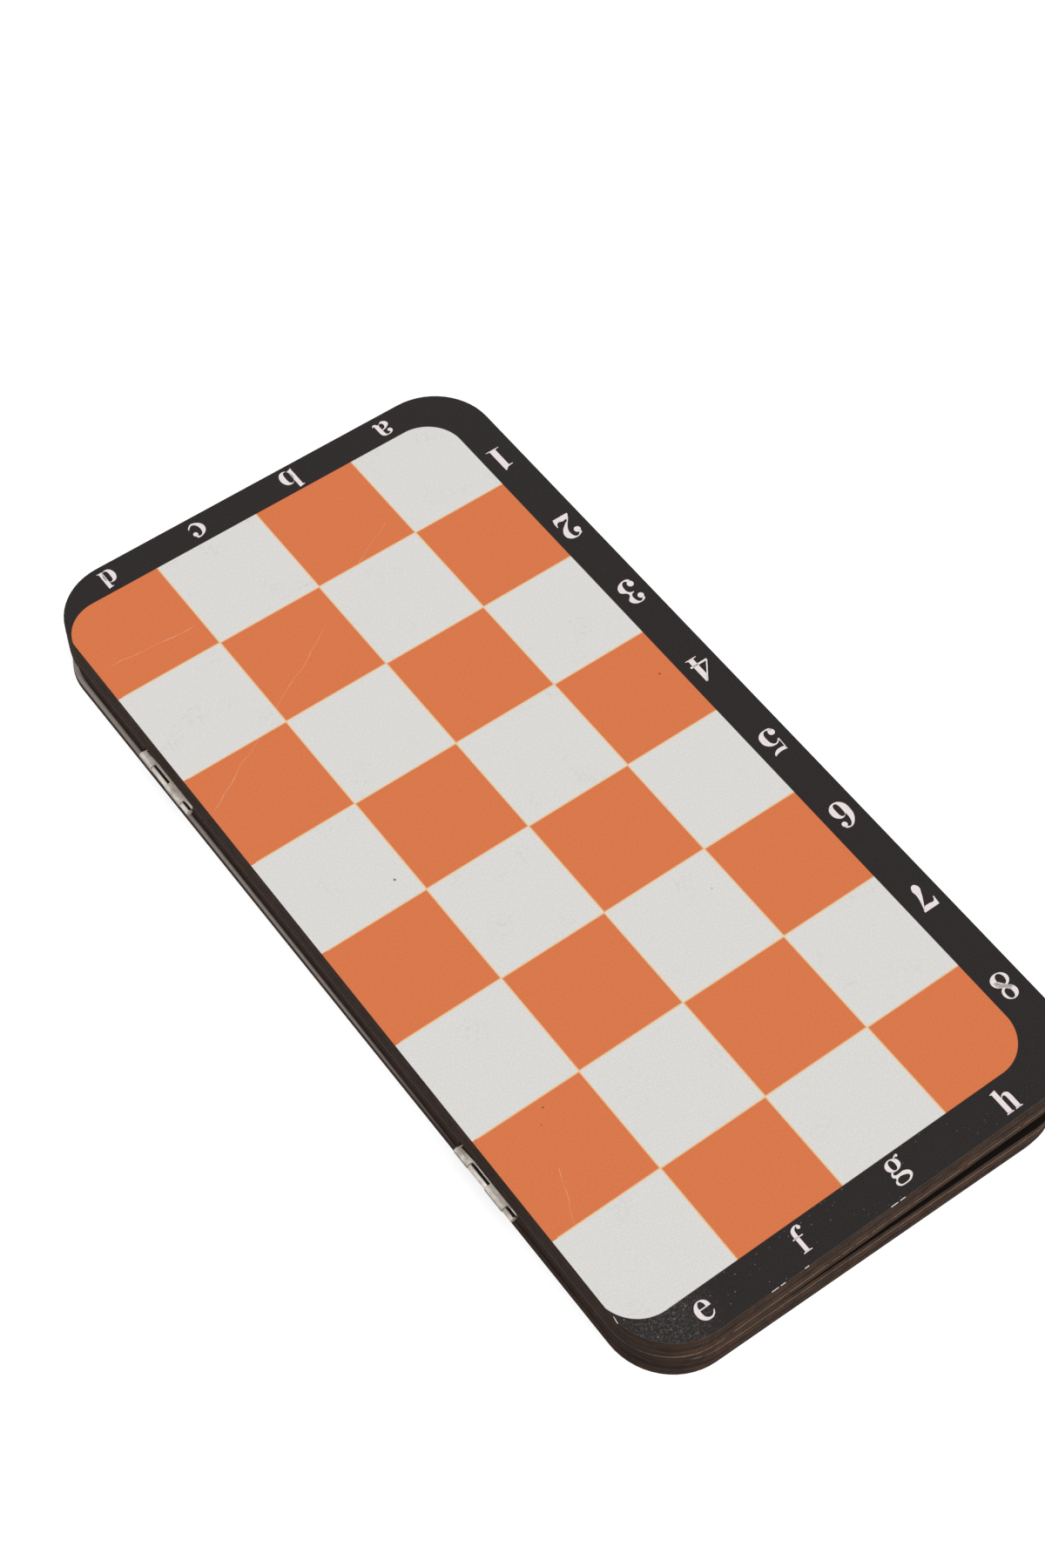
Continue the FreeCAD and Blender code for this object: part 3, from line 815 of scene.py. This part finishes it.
def settle(piece, place, body, material):
    """Give a piece made in millimetres its place in the frame, its body and its finish."""
    only(piece)
    piece.matrix_world = place @ piece.matrix_world
    apply_transform()
    piece.data.name = piece.name
    if material is not None:
        piece.data.materials.clear()
        piece.data.materials.append(material)
    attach(piece, body)
    return piece


def own_y(half, along):
    """A place along the spine as a half's own Y."""
    return along if half == "base" else -along - END_OVERHANG


# ---- hinges ----


def own_pin(half):
    return PIN_X if half == "base" else LID_PIN_X


def knuckle_spans(half):
    """Start and end of a half's knuckles along its own Y, from the middle of the hinge."""
    forward = 1 if half == "base" else -1
    spot = BARREL / 2
    spans = []
    for owner, size in KNUCKLES:
        if owner == half:
            spans.append(sorted((forward * spot, forward * (spot - size))))
        spot -= size + KNUCKLE_GAP
    return spans


def make_leaf(half):
    """A leaf pressed from sheet: a plate with round corners, its fingers rolled about the pin.

    The base's fingers are rolled tighter than the lid's.
    """
    pin = own_pin(half)
    level = HALF_THICKNESS - KNUCKLE_RADIUS
    leaf = new_block(
        f"{half}_leaf",
        (pin + LEAF_STARTS[half], -BARREL / 2, level),
        (pin + LEAF_REACH, BARREL / 2, level + LEAF_THICKNESS),
    )
    spans = knuckle_spans(half)
    for cut in {edge for span in spans for edge in span if abs(edge) < BARREL / 2 - TOLERANCE}:
        select_mesh()
        bpy.ops.mesh.bisect(plane_co=(0, cut, 0), plane_no=(0, 1, 0))
    select_faces(
        leaf,
        lambda face: face.normal.x < -0.9
        and any(start < face.center.y < end for start, end in spans),
    )
    push_out(-LEAF_STARTS[half], 0, 0)
    axis = (pin, 0, HALF_THICKNESS)
    bpy.ops.mesh.spin(steps=18, angle=math.radians(-ROLL_DEGREES), center=axis, axis=(0, 1, 0))
    select_mesh()
    bpy.ops.mesh.remove_doubles(threshold=0.001)
    bpy.ops.mesh.normals_make_consistent(inside=False)
    if half == "base":
        rolled = KNUCKLE_RADIUS + TOLERANCE
        select_edges(
            leaf,
            lambda *ends: all(
                math.hypot(end.x - pin, end.z - HALF_THICKNESS) < rolled for end in ends
            ),
        )
        shrink = (BASE_KNUCKLE_SHARE, 1, BASE_KNUCKLE_SHARE)
        bpy.ops.transform.resize(value=shrink, center_override=axis)
    far_side = pin + LEAF_REACH - TOLERANCE
    select_edges(
        leaf,
        lambda one, other: min(one.x, other.x) > far_side
        and abs(one.z - other.z) > 0.1
        and abs(abs(one.y) - BARREL / 2) < TOLERANCE,
    )
    bpy.ops.mesh.bevel(offset=LEAF_CORNER, segments=5, affect="EDGES")
    leave_edit()
    soften(leaf, 0.05)
    return leaf


def make_screw():
    """A small pan-head screw with a cross recess; its head rests on z = 0."""
    bpy.ops.mesh.primitive_cylinder_add(
        vertices=40,
        radius=SCREW_HEAD_RADIUS,
        depth=SCREW_HEAD_HEIGHT,
        location=(0, 0, SCREW_HEAD_HEIGHT / 2),
    )
    screw = bpy.context.object
    screw.name = "screw"
    apply_transform()
    edit()
    top = SCREW_HEAD_HEIGHT - TOLERANCE
    select_edges(screw, lambda one, other: one.z > top and other.z > top)
    bpy.ops.mesh.bevel(offset=HEAD_ROUNDING, segments=5, affect="EDGES")
    select_faces(screw, lambda face: face.normal.z < -0.9)
    bpy.ops.mesh.inset(thickness=SCREW_HEAD_RADIUS - SHANK_RADIUS)
    push_out(0, 0, -SHANK_LENGTH)
    push_out(0, 0, -TIP_LENGTH)
    bpy.ops.transform.resize(value=(TIP_SHARE, TIP_SHARE, 1.0))
    leave_edit()
    cutters = []
    for width, length in (RECESS_BAR, RECESS_BAR[::-1]):
        cutter = new_block(
            "recess",
            (-width / 2, -length / 2, SCREW_HEAD_HEIGHT - RECESS_DEPTH),
            (width / 2, length / 2, SCREW_HEAD_HEIGHT + 0.4),
        )
        select_faces(cutter, lambda face: face.normal.z < -0.9)
        bpy.ops.transform.resize(value=(RECESS_TAPER, RECESS_TAPER, 1.0))
        leave_edit()
        cutters.append(cutter)
    for cutter in cutters:
        cut_away(screw, cutter)
    soften(screw, 0.03, 50)
    return screw


def fit_hinges():
    """Leaves and screws of both hinges, in place of the plain ones."""
    screw = make_screw()
    for half, place in PLACES.items():
        leaf = make_leaf(half)
        seat = HALF_THICKNESS - KNUCKLE_RADIUS + LEAF_THICKNESS
        for hinge, along in HINGE_CENTRES.items():
            middle = own_y(half, along)
            piece = copy_of(leaf, f"{hinge}_{half}_leaf")
            where = place @ IN_METRES @ Matrix.Translation((0, middle, 0))
            settle(piece, where, BODIES[half], HINGE_NICKEL[half])
            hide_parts(f"{hinge}_hinge_{half}_leaf")
            for number, end in enumerate((1, -1)):
                piece = copy_of(screw, f"{hinge}_{half}_screw_{number}")
                spot = Vector((own_pin(half) + SCREW_REACH, middle + end * SCREW_SPACING / 2, seat))
                turn = Matrix.Rotation(0.5 + 1.1 * number + middle, 4, "Z")
                where = place @ IN_METRES @ Matrix.Translation(spot) @ turn
                settle(piece, where, BODIES[half], SCREW_STEEL)
                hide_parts(f"{half}_hinge_screws")
        bpy.data.objects.remove(leaf)
    bpy.data.objects.remove(screw)


# ---- seams and chips ----

BEAD_WIDTH = 0.6
BEAD_PROUD = 0.03
STRONG_BEAD = 0.18
FAINT_BEAD = 0.10


def glue_bead(name, level, thickness):
    """A thin line of glue all round a half, standing a hair proud of the sheets it joins."""
    bpy.ops.mesh.primitive_plane_add(size=1.0, location=(0, 0, level))
    bead = bpy.context.object
    bead.name = name
    bead.scale = (BOARD_WIDTH + 2 * BEAD_PROUD, BOARD_LENGTH + 2 * BEAD_PROUD, 1)
    apply_transform()
    edit()
    select_mesh()
    bpy.ops.mesh.bevel(offset=BOARD_CORNER, segments=16, affect="VERTICES")
    select_mesh()
    bpy.ops.mesh.inset(thickness=BEAD_WIDTH)
    bpy.ops.mesh.delete(type="FACE")
    leave_edit()
    apply_modifier(bead, "SOLIDIFY", thickness=thickness, offset=0.0)
    return bead


def run_glue():
    for half, place in PLACES.items():
        for number in range(1, 4):
            strong = number == 3
            level = PRINT_THICKNESS + number * SHEET_THICKNESS
            thickness = STRONG_BEAD if strong else FAINT_BEAD
            bead = glue_bead(f"{half}_glue_{number}", level, thickness)
            material = (STRONG_GLUE if strong else FAINT_GLUE)[half]
            settle(bead, place @ IN_METRES, BODIES[half], material)


# chips in the lid's printed sheet: middle X and Y, length and heading in degrees
CHIPS = (
    (-31.8, -128.0, 1.95, 0),
    (-29.6, -128.0, 1.35, 0),
    (-22.9, -128.0, 1.2, 0),
    (2.1, -128.0, 2.0, 0),
    (4.5, -128.0, 1.5, 0),
    (-63.85, -113.1, 1.8, 83),
)
CHIP_PROUD = 0.035
CHIP_DEPTH = 0.10
CHIP_LIFT = 0.012


def chip_paper():
    """Slivers of bare paper where the lid's printed sheet is chipped along its edge."""
    outside = PRINT_PLACES["lid"] @ IN_METRES @ TURNED_OUT
    for number, (x, y, length, heading) in enumerate(CHIPS, start=1):
        chip = new_block(
            f"paper_chip_{number}",
            (-length / 2, -CHIP_PROUD, -PRINT_THICKNESS),
            (length / 2, CHIP_DEPTH, CHIP_LIFT),
        )
        select_edges(
            chip,
            lambda one, other: abs(one.x - other.x) < TOLERANCE and abs(one.z - other.z) > 0.1,
        )
        bpy.ops.mesh.bevel(offset=0.05, segments=2, affect="EDGES")
        select_mesh()
        bpy.ops.mesh.subdivide(number_cuts=2, fractal=0.12, seed=number)
        leave_edit()
        where = outside @ Matrix.Translation((x, y, 0)) @ turned(heading)
        settle(chip, where, "lid", PAPER_CORE)


# ---- letters and digits ----

SHARP = "sharp"


def oval(x, y, across, up):
    """Four smooth points round a centre."""
    return ((x + across, y), (x, y + up), (x - across, y), (x, y - up))


def corners(*points):
    """Points with their corners kept sharp."""
    return tuple((x, y, SHARP) for x, y in points)


def bar(left, bottom, right, top):
    """A rectangle with sharp corners."""
    return corners((left, bottom), (right, bottom), (right, top), (left, top))


def foot(left, right, stem_left, stem_right):
    """A flat serif with small brackets under a stem."""
    right_side = ((right, 0), (right, 0.14), (stem_right, 0.36))
    return corners((left, 0), *right_side, (stem_left, 0.36), (left, 0.14))


# Each sign is a list of strokes, and each stroke an outline and any holes in it.
# Points are smooth unless they are marked sharp; the lower left corner of a sign is 0, 0.
SIGNS = {
    "a": (
        (((4.4, 0.55, SHARP), (4, 0.05), (3.3, 0.05), (2.7, 0.6), (1.3, 0), (0, 1.2), (1, 2.4),
         *corners((2.6, 2.9), (2.6, 3.4)), (2.4, 4.4), (1.75, 4.65), (1.1, 4.3), (1.5, 3.6),
         (0.85, 3.1), (0.2, 3.7), (0.7, 4.6), (2, 4.9), (3.4, 4.5), *corners((3.8, 3.4),
         (3.8, 0.9)), (3.95, 0.45), (4.25, 0.7, SHARP)), ((2.6, 2.6, SHARP), (1.6, 2.2), (1.3, 1.3),
         (1.7, 0.55), (2.3, 0.6), (2.6, 1, SHARP))),
    ),
    "b": (
        (corners((0.45, 0), (0.9, 0.3), (1.65, 0.5), (1.65, 6.9), (0, 6.6), (0, 6.42),
         (0.45, 6.3)),),
        (oval(3.05, 2.4, 1.85, 2.45), oval(2.45, 2.4, 0.85, 2.12)),
    ),
    "c": (
        (((3.6, 4.5), (2.35, 4.95), (0, 2.45), (2.3, 0), (3.6, 0.45), *corners((4.25, 1.4),
         (4.05, 1.5)), (3.3, 0.75), (2.6, 0.5), (1.35, 2.45), (2.3, 4.62), (3.2, 4.3)),),
        (oval(3.35, 3.6, 0.66, 0.68),),
    ),
    "d": (
        (oval(1.67, 2.16, 1.67, 2.2), oval(2.16, 2.16, 0.77, 1.9)),
        (corners((4.28, 0.09), (4.28, 0.25), (3.78, 0.36), (3.78, 5.8), (2.25, 5.55), (2.25, 5.4),
         (2.7, 5.3), (2.7, 0.09)),),
    ),
    "e": (
        (((4.17, 2.72, SHARP), (3.8, 4.1), (2.2, 4.86), (0.6, 4.1), (0, 2.35), (0.65, 0.62),
         (2.35, 0), (3.5, 0.42), *corners((4.15, 1.35), (3.95, 1.45)), (3.35, 0.75), (2.6, 0.45),
         (1.6, 0.95), (1.27, 2.1), (1.27, 2.72, SHARP)), (*corners((1.3, 3), (3.02, 3)),
         (2.9, 3.95), (2.2, 4.6), (1.5, 4))),
    ),
    "f": (
        ((*corners((0.62, 0.2), (0.62, 4.7)), (0.85, 5.7), (1.6, 6.35), (2.5, 6.52), (3.2, 6.25),
         (2.5, 6.2), (1.85, 5.6), *corners((1.68, 4.6), (1.68, 0.2))),),
        (oval(3.02, 5.78, 0.46, 0.48),),
        (bar(0, 3.75, 2.75, 4),),
        (foot(0, 2.4, 0.62, 1.68),),
    ),
    "g": (
        (oval(2.25, 5.1, 1.95, 1.55), oval(2.25, 5.1, 0.78, 1.32)),
        (((3.3, 6.1, SHARP), (3.9, 6.75), (4.35, 6.75), (3.9, 6.4), (3.55, 5.9, SHARP)),),
        (oval(4.45, 6.6, 0.38, 0.36),),
        (((1.5, 3.85), (1, 3.4), (1.1, 2.95), (2, 2.78), (3.7, 2.72), (4.8, 1.6), (4, 0.42),
         (2.2, 0), (0.3, 0.45), (0.1, 1.3), (0.8, 2.1), (0.3, 2.75), (0.55, 3.5), (1.3, 4)),
         ((1.3, 1.95), (3.1, 1.85), (3.95, 1.25), (3.3, 0.52), (2, 0.28), (0.85, 0.6),
         (0.75, 1.4))),
    ),
    "h": (
        (corners((0.4, 0.2), (1.7, 0.2), (1.7, 6.5), (0, 6.2), (0, 6.02), (0.4, 5.92)),),
        (foot(0, 2.05, 0.4, 1.7),),
        ((*corners((2.9, 0.2), (2.9, 3.4)), (2.75, 4.15), (2.35, 4.35), *corners((1.6, 3.6),
         (1.6, 3.85)), (2.2, 4.6), (3.1, 4.86), (3.9, 4.4), *corners((4.15, 3.4), (4.15, 0.2))),),
        (foot(2.6, 4.65, 2.9, 4.15),),
    ),
    "1": (
        ((*corners((1.25, 0.3), (3, 0.3), (3, 7.8), (2.7, 7.8)), (1.8, 7.1), *corners((0.15, 6.85),
         (0.15, 6.62), (1.25, 6.6))),),
        (foot(0, 4.1, 1.25, 3),),
    ),
    "2": (
        (((0.4, 6.9), (1.3, 7.75), (2.8, 8), (4.5, 7.2), (4.9, 5.8), (4.2, 4.2), (2.6, 2.8),
         (1.35, 1.6), (2.3, 1.7), (3.6, 1.35), (4.35, 1.8), *corners((4.7, 2.7), (4.9, 2.7)),
         (4.85, 1.2), *corners((4.5, 0), (0, 0), (0, 0.35)), (0.9, 1.8), (2.3, 3.5), (3.05, 4.9),
         (3.15, 6.2), (2.85, 7.3), (2.1, 7.72), (1.3, 7.3), (0.9, 6.8)),),
        (oval(0.98, 5.95, 0.92, 0.92),),
    ),
    "3": (
        (((0.5, 7), (2.2, 8.05), (4.5, 6.4), (3.3, 4.4), (4.95, 2.35), (2.3, 0), (0.4, 0.9),
         (1, 0.95), (2.1, 0.33), (3.25, 2.4), (2.7, 3.9), *corners((1.7, 4.2), (1.7, 4.42)),
         (2.6, 4.75), (2.95, 6.3), (2.1, 7.72), (1, 7.2)),),
        (oval(0.98, 6.25, 0.84, 0.84),),
        (oval(0.92, 1.75, 0.9, 0.9),),
    ),
    "4": (
        (corners((2.8, 0.3), (4.3, 0.3), (4.3, 7.8), (3.95, 7.8), (2.8, 6.15)),),
        (corners((0, 2.55), (0.42, 2.55), (3.1, 6.3), (4.1, 7.8), (3.8, 7.8)),),
        (bar(0, 2.05, 5.05, 2.6),),
        (foot(1.7, 5.05, 2.8, 4.3),),
    ),
    "5": (
        (((0.75, 7.5, SHARP), (1.8, 7.3), (3.2, 7.35), (4.6, 7.75, SHARP), (4.5, 7.3), (3.6, 6.5),
         (2.2, 6.25), (0.75, 6.5, SHARP)),),
        (corners((0.55, 3.85), (0.78, 3.85), (0.98, 7.3), (0.75, 7.3)),),
        (((0.65, 3.85, SHARP), (1.2, 4.6), (2.6, 5), (4.5, 4.1), (5.05, 2.4), (4.4, 0.75), (2.5, 0),
         (0.5, 0.7), (1.1, 0.75), (2.1, 0.3), (3, 0.85), (3.3, 2.4), (3, 4.1), (2.2, 4.65),
         (1.3, 4.25), (0.8, 3.7, SHARP)),),
        (oval(0.95, 1.38, 0.9, 0.9),),
    ),
    "6": (
        (((4.35, 6.9), (3.3, 7.72), (1.2, 6.7), (0, 3.4), (0.7, 0.85), (2.5, 0), (4.3, 0.7),
         (4.95, 2.35), (4.35, 4), (3.1, 4.65), (2.1, 4.25), (1.7, 3.8, SHARP), (1.8, 5.6),
         (2.5, 7.1), (3.2, 7.42), (3.8, 7)), oval(2.55, 2.35, 0.8, 1.98)),
        (oval(4, 6.3, 0.74, 0.74),),
    ),
    "7": (
        ((*corners((0.3, 7.5), (4.7, 7.5)), (4.6, 7), (3.8, 6.2), (2.2, 6.1), (0.9, 6.2),
         *corners((0.22, 5.1), (0, 5.1))),),
        (((4.7, 7.5, SHARP), (3.7, 4.7), (3.3, 2.7), (3.35, 1.1), (2.3, 0), (1.3, 1), (1.9, 2.9),
         (2.9, 4.7), (4.3, 6.9, SHARP)),),
    ),
    "8": (
        (oval(2.45, 5.68, 2, 1.92), oval(2.75, 5.85, 0.95, 1.45)),
        (oval(2.45, 1.98, 2.42, 1.98), oval(2.05, 1.85, 1.12, 1.52)),
        ((*corners((0.75, 4.8), (1.75, 5.3)), (3, 3.95), (4.2, 2.9), *corners((4.2, 1.9),
         (3.2, 1.9)), (2.1, 3.35)),),
    ),
}

# where each sign's lower left corner lies on a half's outside, seen from outside
NEAR_LETTERS = (("e", -49.3, -125.0), ("f", -21.5, -125.3), ("g", 5.6, -125.6), ("h", 36.85, -126.35))
# the far letters and the digits read from the other end
FAR_LETTERS = (("a", 41.4, 125.9), ("b", 12.1, 126.7), ("c", -16.9, 126.1), ("d", -43.7, 126.3))
DIGITS = (
    ("1", 60.2, 100.35), ("2", 61.3, 71.65), ("3", 61.4, 45.2), ("4", 61.4, 15.6),
    ("5", 61.3, -12.2), ("6", 61.5, -38.7), ("7", 61.5, -67.7), ("8", 61.1, -97.25),
)
INK_THICKNESS = 0.012
INK_LIFT = 0.004


def draw_stroke(outline, *holes):
    """A flat shape from its outline and holes, as a mesh."""
    curve = bpy.data.curves.new("stroke", "CURVE")
    curve.dimensions = "2D"
    curve.fill_mode = "BOTH"
    curve.extrude = INK_THICKNESS
    curve.resolution_u = 6
    for points in (outline, *holes):
        spline = curve.splines.new("BEZIER")
        spline.bezier_points.add(len(points) - 1)
        spline.use_cyclic_u = True
        for point, (x, y, *kind) in zip(spline.bezier_points, points):
            point.co = (x, y, 0)
            point.handle_left_type = "VECTOR" if kind else "AUTO"
            point.handle_right_type = "VECTOR" if kind else "AUTO"
    stroke = bpy.data.objects.new("stroke", curve)
    bpy.context.collection.objects.link(stroke)
    only(stroke)
    bpy.ops.object.convert(target="MESH")
    return bpy.context.object


def draw_sign(sign):
    """A letter or digit, its strokes joined into one mesh."""
    strokes = [draw_stroke(*stroke) for stroke in SIGNS[sign]]
    only(strokes[0])
    for stroke in strokes:
        stroke.select_set(True)
    if len(strokes) > 1:
        bpy.ops.object.join()
    return bpy.context.object


def letter_halves():
    """The same signs on the outside of both halves."""
    for sign in SIGNS:
        drawn = draw_sign(sign)
        upright = [place for place in NEAR_LETTERS if place[0] == sign]
        reversed_ones = [place for place in FAR_LETTERS + DIGITS if place[0] == sign]
        for half, place in PRINT_PLACES.items():
            outside = place @ IN_METRES @ TURNED_OUT
            for name, x, y in upright + reversed_ones:
                turn = turned(180 if reversed_ones else 0)
                piece = copy_of(drawn, f"{half}_sign_{name}")
                where = outside @ Matrix.Translation((x, y, INK_LIFT)) @ turn
                settle(piece, where, BODIES[half], LETTER_INK)
        bpy.data.objects.remove(drawn)


# ---- dice ----

DIE_SIZE = 8.0
DIE_EDGE = 1.1
PIP_STEP = 2.1
PIP_RADIUS = 0.85
PIP_CENTRE = 0.35
# pips of a face, in steps across and up from its middle
PIPS = {
    1: ((0, 0),),
    2: ((-1, -1), (1, 1)),
    3: ((-1, -1), (0, 0), (1, 1)),
    4: ((-1, -1), (-1, 1), (1, -1), (1, 1)),
    5: ((-1, -1), (-1, 1), (0, 0), (1, -1), (1, 1)),
    6: ((-1, -1), (-1, 0), (-1, 1), (1, -1), (1, 0), (1, 1)),
}
# the faces' outward turns, so that opposite faces add up to seven
FACE_TURNS = {
    1: turned(90, "X"),
    6: turned(-90, "X"),
    2: turned(90, "Y"),
    5: turned(-90, "Y"),
    3: turned(180, "X"),
    4: turned(0, "X"),
}


def make_die():
    """A cube with soft edges and hollowed pips, its middle on the origin."""
    half = DIE_SIZE / 2
    die = new_block("die", (-half, -half, -half), (half, half, half))
    select_mesh()
    bpy.ops.mesh.bevel(offset=DIE_EDGE, segments=5, affect="EDGES")
    leave_edit()
    die.data.materials.append(DIE_IVORY)
    balls = []
    for number, turn in FACE_TURNS.items():
        for across, up in PIPS[number]:
            spot = turn @ Vector((across * PIP_STEP, up * PIP_STEP, half + PIP_CENTRE))
            bpy.ops.mesh.primitive_uv_sphere_add(
                segments=20, ring_count=12, radius=PIP_RADIUS, location=spot
            )
            balls.append(bpy.context.object)
    for ball in balls:
        ball.select_set(True)
    bpy.ops.object.join()
    cutter = bpy.context.object
    cutter.data.materials.append(PIP_BLACK)
    cut_away(die, cutter, material_mode="TRANSFER")
    only(die)
    bpy.ops.object.shade_smooth_by_angle(angle=math.radians(35))
    return die


def lay_dice():
    die = make_die()
    for number, body, turn, face in ((1, "first_die", 0, 0), (2, "second_die", 25, 90)):
        low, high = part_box(f"die_{number}")
        middle = (Vector(low) + Vector(high)) / 2
        piece = copy_of(die, f"ivory_die_{number}")
        where = Matrix.Translation(middle) @ IN_METRES @ turned(turn) @ turned(face, "X")
        settle(piece, where, body, None)
        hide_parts(f"die_{number}")
    bpy.data.objects.remove(die)


fit_hinges()
run_glue()
chip_paper()
letter_halves()
lay_dice()


# ---- floor, light and camera ----

KEY_FROM = Vector((-0.24, -0.46, 0.86))
KEY_STRENGTH = 2.0
KEY_WIDTH = math.radians(55)
WORLD_STRENGTH = 0.45
FLOOR_GLOW = 0.68
FLOOR_SIZE = 6.0
FLOOR_DROP = 0.05
CAMERA_PLACE = (-262.387, -287.463, 560.191)
CAMERA_TURN = (36.333, -3.646, -36.403)
CAMERA_LENS = 94.415


def seen_rays(tree):
    """1 for what the camera sees and for what shows in gloss or glass."""
    path = tree.nodes.new("ShaderNodeLightPath")
    shown = calc(tree, "MAXIMUM", path.outputs["Is Camera Ray"], path.outputs["Is Glossy Ray"])
    return calc(tree, "MAXIMUM", shown, path.outputs["Is Transmission Ray"])


def lay_floor():
    bpy.ops.mesh.primitive_plane_add(size=FLOOR_SIZE, location=(0, 0, -FLOOR_DROP * MM))
    floor = bpy.context.object
    floor.name = "floor"
    apply_transform()
    material, tree, shader = new_material("pale_floor", Roughness=0.9, Specular_IOR_Level=0.0)
    shader.inputs["Base Color"].default_value = (0.5, 0.5, 0.5, 1.0)
    shader.inputs["Emission Color"].default_value = (1, 1, 1, 1)
    feed(tree, shader.inputs["Emission Strength"], calc(tree, "MULTIPLY", seen_rays(tree), FLOOR_GLOW))
    floor.data.materials.append(material)


def light_studio():
    world = bpy.data.worlds.new("studio")
    bpy.context.scene.world = world
    world.use_nodes = True
    tree = world.node_tree
    background = tree.nodes["Background"]
    background.inputs["Color"].default_value = (1, 1, 1, 1)
    strength = calc(tree, "MULTIPLY_ADD", seen_rays(tree), 1 - WORLD_STRENGTH, WORLD_STRENGTH)
    feed(tree, background.inputs["Strength"], strength)
    bpy.ops.object.light_add(type="SUN", rotation=KEY_FROM.to_track_quat("Z", "Y").to_euler())
    key = bpy.context.object
    key.name = "key_light"
    key.data.energy = KEY_STRENGTH
    key.data.angle = KEY_WIDTH


def place_camera():
    bpy.ops.object.camera_add(
        location=Vector(CAMERA_PLACE) * MM,
        rotation=[math.radians(turn) for turn in CAMERA_TURN],
    )
    camera = bpy.context.object
    camera.name = "camera"
    camera.data.sensor_fit = "HORIZONTAL"
    camera.data.sensor_width = 36.0
    camera.data.lens = CAMERA_LENS
    camera.data.clip_start = 0.01
    camera.data.clip_end = 20.0
    bpy.context.scene.camera = camera


lay_floor()
light_studio()
place_camera()
bpy.context.scene.view_settings.view_transform = "Standard"
